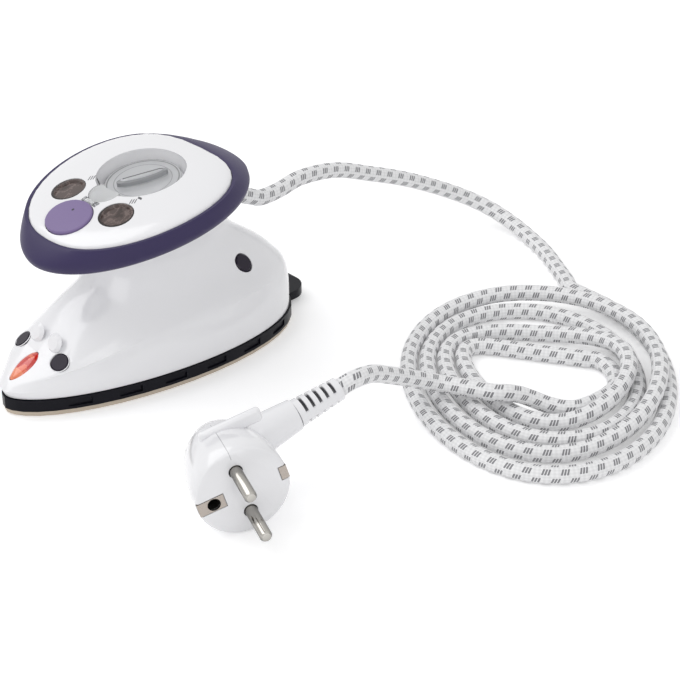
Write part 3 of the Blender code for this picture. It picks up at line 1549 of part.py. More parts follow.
def main():
    clear_scene()
    white = material("gloss white plastic", (0.86, 0.86, 0.87), 0.18)
    violet = material("dark violet rubber", (0.045, 0.032, 0.090), 0.55)
    lavender = material("violet button plastic", (0.24, 0.17, 0.37), 0.45)
    aubergine = material("dark aubergine plastic", (0.020, 0.010, 0.024), 0.30)
    black = material("black plastic", (0.012, 0.013, 0.018), 0.40)
    clear = material("clear plastic", (0.74, 0.75, 0.77), 0.12)
    smoky = material("smoky brown plastic", (0.10, 0.065, 0.055), 0.15)
    red = material("red lamp plastic", (0.80, 0.05, 0.02), 0.10)
    glass = material("lamp glass", (0.85, 0.55, 0.40), 0.10)
    champagne = material("sole coating", (0.55, 0.48, 0.40), 0.35, 0.6)
    alloy = material("cast aluminium", (0.55, 0.55, 0.56), 0.55, 1.0)
    steel = material("bright steel", (0.65, 0.65, 0.66), 0.30, 1.0)
    nickel = material("nickel plate", (0.68, 0.67, 0.64), 0.20, 1.0)
    phenolic = material("dark phenolic", (0.10, 0.06, 0.04), 0.60)
    textile = material("white textile cord", (0.80, 0.80, 0.81), 0.85)
    lead = material("lead sleeve", (0.50, 0.50, 0.50), 0.60)

    body_tree = tree_of(skin(body_rings()))
    cover_tree = tree_of(skin(cover_rows(0)))

    make_soleplate(champagne)
    make_casting(alloy)
    make_element(steel)
    make_chamber_cover(steel)
    make_thermostat(phenolic)
    make_fuse(white)
    make_shield(steel)
    make_shield_screws(steel)
    make_terminal_block(white)
    make_skirt(black)
    make_body_shell(white, body_tree)
    for name, side in (("left", -1), ("right", 1)):
        make_plug(f"eye_plug_{name}", body_tree, side * EYE_SIDE, EYE_PLACE, EYE_RADIUS, aubergine)
        make_plug(
            f"rear_plug_{name}",
            body_tree,
            side * REAR_PLUG_SIDE,
            REAR_PLUG_PLACE,
            REAR_PLUG_RADIUS,
            aubergine,
        )
    make_lens(red, body_tree)
    make_lamp(glass, body_tree)
    make_gland(white)
    make_inner_lead(lead)
    make_grip_rim(violet)
    make_pan(white)
    make_cover(white, cover_tree)
    make_scale_ring(white)
    make_dial(clear)
    make_shaft(steel)
    make_lid(clear, cover_tree)
    make_lid_pin(steel, cover_tree)
    make_funnel(white, cover_tree)
    make_windows(smoky, cover_tree)
    make_button(lavender, cover_tree)
    make_piston(white, cover_tree)
    make_pump(white, cover_tree)
    make_spring(steel, cover_tree)
    make_tank(clear, cover_tree)
    make_pipe(white)
    make_cord(textile)
    make_plug_body(white)
    make_earth_pieces(nickel)
    make_pins(nickel)
    make_relief(white)


if __name__ == "__main__":
    main()
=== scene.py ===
"""Mini press iron: the visual model, its finishes and its studio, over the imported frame."""

import json
import math

import bmesh
import bpy
import numpy as np
from bpy.props import FloatProperty, FloatVectorProperty, IntProperty, PointerProperty
from bpy.types import Operator, Panel, PropertyGroup
from mathutils import Matrix, Vector

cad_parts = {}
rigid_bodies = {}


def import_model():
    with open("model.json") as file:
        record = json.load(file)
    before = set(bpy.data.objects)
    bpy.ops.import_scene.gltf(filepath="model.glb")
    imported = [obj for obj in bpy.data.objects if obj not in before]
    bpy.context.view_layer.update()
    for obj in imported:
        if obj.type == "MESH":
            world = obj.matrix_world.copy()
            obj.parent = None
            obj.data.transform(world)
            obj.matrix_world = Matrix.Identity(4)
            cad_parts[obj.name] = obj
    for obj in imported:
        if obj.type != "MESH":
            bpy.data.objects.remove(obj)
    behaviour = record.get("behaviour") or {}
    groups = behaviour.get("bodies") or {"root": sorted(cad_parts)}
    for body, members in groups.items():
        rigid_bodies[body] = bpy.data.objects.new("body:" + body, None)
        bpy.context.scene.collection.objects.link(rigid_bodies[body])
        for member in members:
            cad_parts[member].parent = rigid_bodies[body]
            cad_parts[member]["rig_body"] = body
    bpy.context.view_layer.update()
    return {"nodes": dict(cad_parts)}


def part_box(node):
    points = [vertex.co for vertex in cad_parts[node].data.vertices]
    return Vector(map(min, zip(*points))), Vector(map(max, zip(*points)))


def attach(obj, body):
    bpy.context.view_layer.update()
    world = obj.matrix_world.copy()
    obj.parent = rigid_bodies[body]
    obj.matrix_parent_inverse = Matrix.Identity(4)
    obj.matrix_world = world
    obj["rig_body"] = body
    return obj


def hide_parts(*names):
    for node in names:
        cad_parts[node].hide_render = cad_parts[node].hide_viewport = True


bl_info = {
    "name": "Mini press iron",
    "version": (1, 0, 0),
    "blender": (4, 5, 0),
    "location": "3D View > Sidebar > Press iron",
    "description": "Builds a mini steam press iron with its braided cord, plug and studio",
    "category": "Object",
}

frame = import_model()

# Camera: place, line of sight and angle of view that fit the photograph
CAMERA_PLACE = Vector((0.55600, -0.40592, 0.40589))
CAMERA_FORWARD = Vector((-0.6328, 0.5852, -0.5071))
CAMERA_ANGLE_DEG = 21.116
CAMERA_NEAR = 0.01

# Cord route, with the same points as the part's source, in metres
CORD_EXIT = Vector((0.0, 0.04768, 0.05806))
EXIT_AXIS = Vector((0.0, 0.9063, -0.4226))
IRON_ROUTE = (
    (0.0000, 0.0600, 0.0524),
    (-0.0015, 0.0720, 0.0515),
    (-0.0030, 0.0865, 0.0525),
    (-0.0040, 0.1088, 0.0488),
    (-0.0030, 0.1300, 0.0406),
    (0.0000, 0.1503, 0.0323),
    (0.0040, 0.1702, 0.0224),
    (0.0110, 0.1840, 0.0147),
    (0.0210, 0.1905, 0.0098),
    (0.0330, 0.1925, 0.0060),
    (0.0450, 0.1910, 0.00385),
    (0.0608, 0.1848, 0.00375),
    (0.0765, 0.1762, 0.00375),
    (0.0865, 0.1705, 0.00375),
)
PLUG_ROUTE = (
    (0.1523, 0.1246, 0.00375),
    (0.1567, 0.1206, 0.00375),
    (0.1604, 0.1162, 0.00375),
    (0.1621, 0.1100, 0.00375),
    (0.1623, 0.1031, 0.00375),
    (0.1617, 0.0970, 0.00375),
    (0.1600, 0.0914, 0.00375),
    (0.1564, 0.0872, 0.0040),
    (0.1516, 0.0838, 0.0049),
    (0.1474, 0.0802, 0.0070),
    (0.1439, 0.0752, 0.0099),
    (0.1412, 0.0692, 0.0122),
    (0.1378, 0.0650, 0.0125),
    (0.1322, 0.0621, 0.0125),
    (0.1248, 0.0581, 0.0125),
    (0.1189, 0.0539, 0.0130),
    (0.1158, 0.0468, 0.0160),
    (0.1146, 0.0379, 0.0205),
    (0.1147, 0.0286, 0.0255),
    (0.1154, 0.0190, 0.0305),
)
RELIEF_START = Vector((0.11228, -0.01885, 0.0266))
RELIEF_END = Vector((0.11613, 0.00005, 0.0319))
NECK_AXIS = Vector((0.1926, 0.9449, 0.2646)).normalized()
COIL_CENTRE = (0.1290, 0.1020)
COIL_TURN_DEG = 47.24
COIL_SHIFT = -0.0020
COIL_LIFT = 0.00375
COIL_LAYER = 0.00775
COIL_SIDE_REACHES = (0.0546, 0.0540, 0.0511, 0.0459, 0.0417, 0.0381, 0.0379, 0.0303, 0.0325)
COIL_END_REACHES = (0.0771, 0.0755, 0.0627, 0.0613, 0.0526, 0.0513, 0.0335, 0.0383, 0.0169, 0.0397)
COIL_SKEW_SHARES = (-0.01, 0.03, -0.05, 0.10, 0.07, 0.21, 0.04, 0.38, 0.15)
COIL_LIFT_SHARES = (0, 0, 0, 0, 0.5, 0.9, 0, 0, 0, 0, 0, 0, 0, 1, 0, 0, 0, 0, 0)
COIL_START = 0.10
COIL_END = 4.07
COIL_STEPS_PER_LOOP = 96
CORD_STEP = 0.0025

# Braid: rows of marker threads round the cord, and the weave between them
MARKER_ROWS = 6
MARKER_SLANT = 0.16
MARKER_STRIPES = 6.4
MARKER_SHARE = 0.430
STRIPE_SHARE = 0.66
ROW_HALF_SHARE = 0.33
WEAVE_PITCH = 0.0036
WEAVE_ROUND = 8
WEAVE_DEPTH = 0.00016

# Dial: its place, its rings of painted shade where the disc's edge and the dish shade it, as inner
# radius, outer radius and shade, and its fin
DIAL_CENTRE = Vector((0.0, -0.0025, 0.0811))
DIAL_AXIS = Vector((0.0, -0.165, 0.9863))
DIAL_SHADE_RINGS = ((0.0147, 0.0153, 0.30), (0.0119, 0.0123, 0.45), (0.0158, 0.0200, 0.55))
FIN_TURN_DEG = 24
FIN_FOOT = 0.0004
FIN_TOP = 0.0028
SLIT_HALF_WIDTH = 0.00035
SLIT_HALF_LENGTH = 0.0085
SCALE_TICKS = 24
SCALE_FRONT = -0.011

# Prints beside the water windows: slanted strokes and a wedge
PRINT_PLACES = ((-0.0131, -0.0180), (0.0157, -0.0186))
PRINT_TURN_DEG = 47.24
STROKE_COUNT = 3
STROKE_START = 0.0016
STROKE_PITCH = 0.0010
STROKE_HALF_WIDTH = 0.00022
STROKE_HALF_HEIGHT = 0.0014
STROKE_SLANT = 0.30
WEDGE_SIDE = 0.0020
WEDGE_RISE = 0.0016
WEDGE_HALF_HEIGHT = 0.0013

# Plug: its face, parting line, earth hole, grip ridge and the bend relief's slots
FACE_CENTRE = Vector((0.12907, -0.05935, 0.01866))
FACE_NORMAL = Vector((0.9243, -0.3804, 0.0294)).normalized()
PIN_LINE = Vector((-0.1304, -0.2426, 0.9613)).normalized()
EARTH_LINE = PIN_LINE.cross(FACE_NORMAL)
EARTH_HOLE_PLACE = 0.0118
EARTH_HOLE_RADIUS = 0.0027
EARTH_HOLE_DEPTH = 0.0125
PARTING_HALF_WIDTH = 0.00018
PARTING_START = 0.0150
RIDGE_BACK = 0.0185
RIDGE_RISE = 0.0160
RIDGE_SIDE = 0.0060
RIDGE_HALVES = (0.0125, 0.0030, 0.0017)
RIDGE_ROUND = 0.0015
SLOT_START = 0.0016
SLOT_END = 0.0185
SLOT_FLOOR = 0.0050
SLOT_TAPER = 0.055

# Small fittings: thin white rings of painted highlight round the nose plugs, the button's dot of
# painted shade for its vent hole, and the fuller lens
EYE_HIGHLIGHT_RADIUS = 0.00415
EYE_HIGHLIGHT_THICKNESS = 0.00022
EYE_HIGHLIGHT_RISE = 0.0007
BUTTON_VENT_SHADE_PLACE = (-0.0007, -0.0374, 0)
BUTTON_VENT_SHADE_RADIUS = 0.0006
LENS_PALE_FRONT = -0.0705
LENS_WIDEN_FRONT = 1.15
LENS_WIDEN_REAR = 0.45
LENS_SINK = 0.0001

# Lamps: places, sizes and the point that both face
KEY_PLACE = (-0.60, -0.50, 1.20)
KEY_SIZE = 1.2
FILL_PLACE = (1.10, -0.50, 0.70)
FILL_SIZE = 0.9
LIGHT_TARGET = (0.04, 0.04, 0.03)

INNER_FINISHES = {
    "heater_casting": "alloy",
    "heating_element": "steel",
    "steam_chamber_cover": "steel",
    "thermostat": "steel",
    "thermal_fuse": "white_plastic",
    "heat_shield": "steel",
    "shield_screw_left": "steel",
    "shield_screw_right": "steel",
    "shield_screw_rear": "steel",
    "terminal_block": "white_plastic",
    "pilot_lamp": "lamp_glass",
    "inner_lead": "lead_sleeve",
    "thermostat_shaft": "phenolic",
    "filler_lid_pin": "clear_plastic",
    "pump_piston": "white_plastic",
    "pump_body": "white_plastic",
    "button_spring": "steel",
    "water_tank": "clear_plastic",
    "water_feed_pipe": "clear_plastic",
}


def colour_setting(name, description, default):
    return FloatVectorProperty(
        name=name, description=description, default=default, subtype="COLOR", size=3, min=0, max=1
    )


class CordSettings(PropertyGroup):
    diameter: FloatProperty(
        name="Cord diameter",
        description="Outer diameter of the braided cord",
        default=0.0072,
        unit="LENGTH",
    )
    thread: colour_setting("Thread", "Colour of the braid", (0.92, 0.92, 0.93))
    fleck: colour_setting("Fleck", "Colour of the marker threads", (0.12, 0.12, 0.135))
    fleck_pitch: FloatProperty(
        name="Fleck pitch",
        description="Distance along the cord from one group of marker threads to the next",
        default=0.0070,
        unit="LENGTH",
    )
    sides: IntProperty(name="Sides", description="Faces round the cord", default=24, min=12)


class IronSettings(PropertyGroup):
    white: colour_setting("White", "Colour of the gloss white plastic", (0.86, 0.86, 0.88))
    rim: colour_setting("Soft rim", "Colour of the handle's soft rim", (0.036, 0.026, 0.092))
    button: colour_setting("Steam button", "Colour of the steam button", (0.215, 0.155, 0.335))
    skirt: colour_setting("Skirt", "Colour of the heat skirt", (0.006, 0.006, 0.010))
    sole: colour_setting("Soleplate", "Colour of the soleplate's coating", (0.56, 0.48, 0.39))
    window: colour_setting("Windows", "Colour of the water windows", (0.115, 0.082, 0.075))
    lens: colour_setting("Lens", "Colour of the pilot lens", (0.78, 0.022, 0.008))
    screw_plug: colour_setting("Screw plugs", "Colour of the screw plugs", (0.012, 0.007, 0.020))
    smooth_angle: FloatProperty(
        name="Smooth angle",
        description="Edges flatter than this are shaded smooth",
        default=math.radians(38),
        subtype="ANGLE",
    )


class StudioSettings(PropertyGroup):
    floor: colour_setting("Floor", "Colour of the floor", (0.97, 0.97, 0.975))
    floor_size: FloatProperty(
        name="Floor size", description="Side of the floor", default=1.4, unit="LENGTH"
    )
    key_power: FloatProperty(
        name="Key light", description="Power of the large soft light", default=7.6, unit="POWER"
    )
    fill_power: FloatProperty(
        name="Fill light", description="Power of the weak side light", default=3.0, unit="POWER"
    )
    floor_lift: FloatProperty(
        name="Floor lift",
        description="How much whiter the floor is seen than it is lit",
        default=0.28,
    )
    sky: FloatProperty(name="Sky", description="Strength of the even light", default=0.62)


class Wire:
    """A node's output; sums written with it add their Math nodes."""

    def __init__(self, finish, socket):
        self.finish = finish
        self.socket = socket

    def sum(self, operation, first, second=0.0):
        return self.finish.node("ShaderNodeMath", {"operation": operation}, {0: first, 1: second})

    def __add__(self, other):
        return self.sum("ADD", self, other)

    def __radd__(self, other):
        return self.sum("ADD", other, self)

    def __sub__(self, other):
        return self.sum("SUBTRACT", self, other)

    def __rsub__(self, other):
        return self.sum("SUBTRACT", other, self)

    def __mul__(self, other):
        return self.sum("MULTIPLY", self, other)

    def __rmul__(self, other):
        return self.sum("MULTIPLY", other, self)

    def __truediv__(self, other):
        return self.sum("DIVIDE", self, other)

    def __gt__(self, other):
        return self.sum("GREATER_THAN", self, other)

    def __lt__(self, other):
        return self.sum("LESS_THAN", self, other)

    def __abs__(self):
        return self.sum("ABSOLUTE", self)

    def fraction(self):
        return self.sum("FRACT", self)

    def sine(self):
        return self.sum("SINE", self)

    def larger(self, other):
        return self.sum("MAXIMUM", self, other)


class Finish:
    """One material: a grained base, then masks that lay other colours over it."""

    def __init__(self, name, colour, roughness, metallic=0.0, **constants):
        self.material = bpy.data.materials.new(name)
        self.material.use_nodes = True
        self.tree = self.material.node_tree
        self.shader = self.tree.nodes["Principled BSDF"]
        for socket, value in {"Metallic": metallic, **constants}.items():
            self.shader.inputs[socket].default_value = value
        self.colour = colour
        self.roughness = roughness
        self.relief = None
        self.relief_depth = 0.0

    def node(self, kind, settings=None, inputs=None, output=0):
        made = self.tree.nodes.new(kind)
        for key, value in (settings or {}).items():
            setattr(made, key, value)
        for key, value in (inputs or {}).items():
            self.feed(made.inputs[key], value)
        return Wire(self, made.outputs[output])

    def feed(self, socket, value):
        if isinstance(value, Wire):
            self.tree.links.new(value.socket, socket)
        elif isinstance(value, tuple) and len(value) == 3 and socket.type == "RGBA":
            socket.default_value = (*value, 1)
        else:
            socket.default_value = value

    def place(self):
        return self.node("ShaderNodeTexCoord", output="Object")

    def axes(self, centre=(0, 0, 0)):
        moved = self.node(
            "ShaderNodeVectorMath", {"operation": "SUBTRACT"}, {0: self.place(), 1: centre}
        )
        split = self.tree.nodes.new("ShaderNodeSeparateXYZ")
        self.feed(split.inputs[0], moved)
        return [Wire(self, output) for output in split.outputs]

    def along(self, centre, direction):
        """Distance from the centre along a direction."""
        moved = self.node(
            "ShaderNodeVectorMath", {"operation": "SUBTRACT"}, {0: self.place(), 1: tuple(centre)}
        )
        dot = {"operation": "DOT_PRODUCT"}
        return self.node("ShaderNodeVectorMath", dot, {0: moved, 1: tuple(direction)}, "Value")

    def noise(self, scale, detail=2.0, stretch=(1, 1, 1)):
        mapped = self.node("ShaderNodeMapping", inputs={"Vector": self.place(), "Scale": stretch})
        inputs = {"Vector": mapped, "Scale": scale, "Detail": detail}
        return self.node("ShaderNodeTexNoise", inputs=inputs)

    def mix(self, mask, under, over):
        settings = {"data_type": "RGBA", "clamp_factor": True}
        return self.node("ShaderNodeMix", settings, {0: mask, 6: under, 7: over}, 2)

    def grain(self, scale, shade=0.06, gloss=0.08, depth=0.0, stretch=(1, 1, 1), broad=40.0):
        """Cloudy shade, fine grain in the gloss, and the same grain as relief."""
        fine = self.noise(scale, 3.0, stretch)
        cloud = self.noise(broad, 2.0)
        darker = tuple(value * (1 - shade) for value in self.colour)
        self.colour = self.mix(cloud * 0.6 + fine * 0.4, self.colour, darker)
        self.roughness = self.roughness + (fine - 0.5) * gloss + (cloud - 0.5) * (gloss / 2)
        self.relief = fine
        self.relief_depth = depth
        return self

    def lay(self, mask, colour, roughness=None):
        self.colour = self.mix(mask, self.colour, colour)
        if roughness is not None:
            self.roughness = self.roughness * (1 - mask) + mask * roughness
        return self

    def done(self):
        self.feed(self.shader.inputs["Base Color"], self.colour)
        self.feed(self.shader.inputs["Roughness"], self.roughness)
        if self.relief is not None and self.relief_depth:
            inputs = {"Height": self.relief, "Distance": self.relief_depth, "Strength": 0.6}
            bump = self.node("ShaderNodeBump", inputs=inputs)
            self.feed(self.shader.inputs["Normal"], bump)
        return self.material


def gloss_white(name, colour):
    return Finish(name, colour, 0.17, **{"Coat Weight": 0.5, "Coat Roughness": 0.06}).grain(
        1400, 0.012, 0.06, 0.00002, broad=25
    )


def printed_cover(name, colour):
    """Gloss white with a small generic print beside each water window."""
    finish = gloss_white(name, colour)
    marks = None
    heading = math.radians(PRINT_TURN_DEG)
    right = Vector((math.cos(heading), math.sin(heading), 0))
    far = Vector((-math.sin(heading), math.cos(heading), 0))
    for x, y in PRINT_PLACES:
        across = finish.along((x, y, 0), right)
        along = finish.along((x, y, 0), far)
        for number in range(STROKE_COUNT):
            slant = across - along * STROKE_SLANT
            near = abs(slant + (STROKE_START - number * STROKE_PITCH)) < STROKE_HALF_WIDTH
            stroke = near * (abs(along) < STROKE_HALF_HEIGHT)
            marks = stroke if marks is None else marks.larger(stroke)
        rise = along - WEDGE_RISE
        wedge = abs(across - WEDGE_SIDE + rise * 0.5) < (WEDGE_HALF_HEIGHT - abs(rise)) * 0.7
        marks = marks.larger(wedge)
    return finish.lay(marks, (0.05, 0.05, 0.06), 0.4)


def soft_rubber(name, colour):
    return Finish(name, colour, 0.46, **{"Specular IOR Level": 0.32}).grain(
        2600, 0.22, 0.10, 0.00005, broad=60
    )


def satin_plastic(name, colour, roughness=0.38, shine=0.5):
    return Finish(name, colour, roughness, **{"Specular IOR Level": shine}).grain(
        1800, 0.16, 0.12, 0.00004, broad=45
    )


def clear_plastic(name, colour, share):
    constants = {"Transmission Weight": share, "IOR": 1.49}
    return Finish(name, colour, 0.07, **constants).grain(700, 0.03, 0.05, 0.00001, broad=30)


def clear_dial(name, colour):
    """Clear plastic with rings of painted shade, painted shade on its fin's sides and a dark line of
    painted shade in the fin's slit.
    """
    finish = clear_plastic(name, colour, 0.55)
    turn = math.radians(FIN_TURN_DEG)
    hint = Vector((math.sin(turn), math.cos(turn), 0))
    across = finish.along(DIAL_CENTRE, hint.cross(DIAL_AXIS).normalized())
    along = finish.along(DIAL_CENTRE, hint)
    height = finish.along(DIAL_CENTRE, DIAL_AXIS.normalized())
    reach = across * across + along * along
    # Each ring is painted shade: darker grey where the disc's edge and the dish shade it.
    for inner, outer, shade in DIAL_SHADE_RINGS:
        ring = (reach > inner**2) * (reach < outer**2)
        finish.lay(ring * 0.8, (shade, shade, shade * 1.02))
    # Painted shade: the fin's sides, between its foot and its top, are laid grey as shaded sides.
    finish.lay((height > FIN_FOOT) * (height < FIN_TOP) * 0.75, (0.34, 0.35, 0.36))
    # Painted shade: a dark line along the fin's top where the slit's shade falls.
    on_fin = (height > FIN_TOP) * (abs(along) < SLIT_HALF_LENGTH)
    painted_slit_shade = on_fin * (abs(across) < SLIT_HALF_WIDTH)
    return finish.lay(painted_slit_shade, (0.03, 0.03, 0.03))


def marked_ring(name, colour):
    """The dial's scale: plain, evenly spaced ticks."""
    finish = Finish(name, colour, 0.3).grain(1200, 0.03, 0.06, 0.00002)
    across, along, _ = finish.axes(tuple(DIAL_CENTRE))
    angle = finish.node(
        "ShaderNodeMath", {"operation": "ARCTAN2"}, {0: across, 1: along / DIAL_AXIS.z}
    )
    ticks = (angle * (SCALE_TICKS / 2)).sine() > 0.90
    return finish.lay(ticks * (along > SCALE_FRONT), (0.10, 0.10, 0.12), 0.4)


def brushed_metal(name, colour, roughness, stretch, metallic=1.0, shade=0.18):
    finish = Finish(name, colour, roughness, metallic)
    return finish.grain(420, shade, 0.16, 0.00002, stretch)


def plated_metal(name, colour, roughness):
    """Bright plating with painted reflection: it darkens where it turns away from the view."""
    finish = Finish(name, colour, roughness, 1.0).grain(500, 0.12, 0.08, 0.00001)
    # Painted reflection: the plating is darkened where its faces turn from the view, as dark
    # surroundings would mirror there.
    edge = finish.node("ShaderNodeLayerWeight", {}, {"Blend": 0.5}, "Facing")
    return finish.lay(edge * 1.2, tuple(value * 0.12 for value in colour))


def cast_metal(name, colour):
    return Finish(name, colour, 0.52, 1.0).grain(900, 0.2, 0.16, 0.00012, broad=80)


def speckled_resin(name, colour):
    finish = Finish(name, colour, 0.55).grain(1100, 0.2, 0.1, 0.00004)
    specks = finish.node(
        "ShaderNodeTexVoronoi", {}, {"Vector": finish.place(), "Scale": 900.0}
    )
    return finish.lay(specks < 0.16, tuple(value * 1.9 for value in colour))


def water_window(name, colour, centre, halves):
    """Smoky plastic with a painted shadow round its edge, and painted refraction: pale streaks and
    dark blotches of the tank seen through it.
    """
    constants = {"Transmission Weight": 0.10, "IOR": 1.49, "Specular IOR Level": 0.35}
    finish = Finish(name, colour, 0.12, **constants)
    warped = finish.noise(230, 5.0, (1, 0.6, 1))
    finish.grain(900, 0.25, 0.06, 0.00003)
    # Painted refraction: pale streaks and darker blotches stand in for light bent by the tank
    # behind.
    painted_refraction_streak = (abs(warped - 0.5) < 0.022) * 0.6
    finish.lay(painted_refraction_streak, (0.24, 0.18, 0.165)).lay((warped > 0.60) * 0.6, (0.03, 0.02, 0.017))
    across, along, _ = finish.axes(centre)
    across, along = across / halves[0], along / halves[1]
    # Painted shadow: the window is darkened round its edge, where the shell's wall shades it.
    return finish.lay((across * across + along * along) > 0.80, (0.022, 0.014, 0.012))


def pilot_red(name, colour):
    """A clear red drop with paler swirls and a paler front end."""
    constants = {"Transmission Weight": 0.10, "IOR": 1.5, "Coat Weight": 1.0}
    finish = Finish(name, colour, 0.06, **constants).grain(500, 0.3, 0.04, 0.00002)
    _, along, _ = finish.axes()
    swirl = finish.noise(260, 3.0)
    finish.lay((swirl > 0.52) * 0.7, (0.92, 0.16, 0.04))
    return finish.lay((along < LENS_PALE_FRONT) * 0.6, (0.95, 0.30, 0.12))


def braided_cord(name, settings):
    """White braid with staggered groups of three grey threads and painted shade in the weave's
    hollows, on the cord's own map.
    """
    finish = Finish(name, tuple(settings.thread), 0.82, **{"Sheen Weight": 0.25})
    uv = finish.tree.nodes.new("ShaderNodeUVMap")
    uv.uv_map = "cord_map"
    split = finish.tree.nodes.new("ShaderNodeSeparateXYZ")
    finish.tree.links.new(uv.outputs[0], split.inputs[0])
    along, around = (Wire(finish, split.outputs[index]) for index in (0, 1))
    row = around * MARKER_ROWS
    in_row = row.fraction()
    odd = (row / 2).fraction() > 0.5
    group = (along / settings.fleck_pitch + odd * 0.5 + in_row * MARKER_SLANT).fraction()
    stripe = (group * MARKER_STRIPES).fraction()
    striped = (group < MARKER_SHARE) * (stripe < STRIPE_SHARE)
    inked = striped * (abs(in_row - 0.5) < ROW_HALF_SHARE)
    turn = 2 * math.pi
    right = (along * (turn / WEAVE_PITCH) + around * (turn * WEAVE_ROUND)).sine()
    left = (along * (turn / WEAVE_PITCH) - around * (turn * WEAVE_ROUND)).sine()
    weave = right * left
    # Painted shade: the weave's hollows are laid darker than its crests.
    painted_weave_shade = tuple(value * 0.84 for value in settings.thread)
    shaded = finish.mix(weave * 0.5 + 0.5, painted_weave_shade, finish.colour)
    fibre = finish.noise(1500, 3.0)
    finish.colour = finish.mix(inked * 0.85, shaded, tuple(settings.fleck))
    finish.roughness = 0.78 + (fibre - 0.5) * 0.2
    finish.relief = weave * 0.8 + fibre * 0.3
    finish.relief_depth = WEAVE_DEPTH
    return finish


def moulded_plug(name, colour):
    """White moulding with its fine parting line and painted shade in the earth hole."""
    finish = gloss_white(name, colour)
    beside = finish.along(FACE_CENTRE, EARTH_LINE)
    height = finish.along(FACE_CENTRE, PIN_LINE)
    line = (abs(beside) < PARTING_HALF_WIDTH) * (abs(height) > PARTING_START)
    finish.lay(line * 0.7, (0.45, 0.45, 0.47))
    # Painted shade: the earth hole is laid near black where shade falls inside it.
    hole = beside + EARTH_HOLE_PLACE
    inside = (hole * hole + height * height) < EARTH_HOLE_RADIUS**2
    near_face = finish.along(FACE_CENTRE, FACE_NORMAL) > -EARTH_HOLE_DEPTH
    return finish.lay(inside * near_face, (0.015, 0.014, 0.013), 0.5)


def slotted_relief(name, colour):
    """Gloss white, with painted shade in the depths of the bend relief's slots."""
    finish = gloss_white(name, colour)
    along = finish.along(RELIEF_START, NECK_AXIS)
    side = (PIN_LINE - NECK_AXIS * PIN_LINE.dot(NECK_AXIS)).normalized()
    across = finish.along(RELIEF_START, side)
    back = finish.along(RELIEF_START, NECK_AXIS.cross(side))
    # Painted shade: the slots' depths are laid dark grey where shade falls in them.
    edge = SLOT_FLOOR - along * SLOT_TAPER
    painted_slot_shade = (across * across + back * back) < edge * edge
    return finish.lay(painted_slot_shade * (along > SLOT_START) * (along < SLOT_END), (0.16, 0.16, 0.17))


def point_line(points, step):
    """Points about one step apart on a smooth curve through the given points."""
    ends = [points[0] * 2 - points[1], *points, points[-1] * 2 - points[-2]]
    result = [points[0]]
    for index in range(1, len(ends) - 2):
        before, start, end, after = ends[index - 1 : index + 3]
        chord = (end - start).length
        lead = (end - before) * (chord / (chord + (start - before).length))
        leave = (after - start) * (chord / ((after - end).length + chord))
        count = max(1, round(chord / step))
        for part in range(1, count + 1):
            share = part / count
            square, cube = share**2, share**3
            result.append(
                start * (2 * cube - 3 * square + 1)
                + lead * (cube - 2 * square + share)
                + end * (3 * square - 2 * cube)
                + leave * (cube - square)
            )
    return result


def eased(values, position):
    index = min(int(position), len(values) - 2)
    share = position - index
    return values[index] + (values[index + 1] - values[index]) * (3 * share**2 - 2 * share**3)


def coil_point(turns):
    side_reach = eased((COIL_SIDE_REACHES[0], *COIL_SIDE_REACHES), turns * 2 + 1 / 2)
    skew = eased((COIL_SKEW_SHARES[0], *COIL_SKEW_SHARES), turns * 2 + 1 / 2)
    end_reach = eased(COIL_END_REACHES, turns * 2)
    lift = eased(COIL_LIFT_SHARES, turns * 4)
    angle = 2 * math.pi * turns
    right = side_reach * math.sin(angle)
    far = end_reach * math.cos(angle) - skew * right + COIL_SHIFT
    heading = math.radians(COIL_TURN_DEG)
    x = COIL_CENTRE[0] + right * math.cos(heading) - far * math.sin(heading)
    y = COIL_CENTRE[1] + right * math.sin(heading) + far * math.cos(heading)
    return Vector((x, y, COIL_LIFT + COIL_LAYER * lift))


def cord_line(diameter):
    """The whole cord's middle line, from the iron to the plug."""
    count = round((COIL_END - COIL_START) * COIL_STEPS_PER_LOOP)
    span = COIL_END - COIL_START
    coil = [coil_point(COIL_START + span * index / count) for index in range(count + 1)]
    into = (coil[0] - coil[1]).normalized()
    out_of = (coil[-1] - coil[-2]).normalized()
    into.z = out_of.z = 0
    iron = [CORD_EXIT, CORD_EXIT + EXIT_AXIS * diameter, *map(Vector, IRON_ROUTE)]
    iron += [coil[0] + into * (diameter * 2), coil[0] + into * diameter, coil[0]]
    plug = [coil[-1], coil[-1] + out_of * diameter, coil[-1] + out_of * (diameter * 2)]
    plug += [*map(Vector, PLUG_ROUTE), RELIEF_END + NECK_AXIS * diameter, RELIEF_END]
    return point_line(iron, CORD_STEP) + coil[1:-1] + point_line(plug, CORD_STEP)


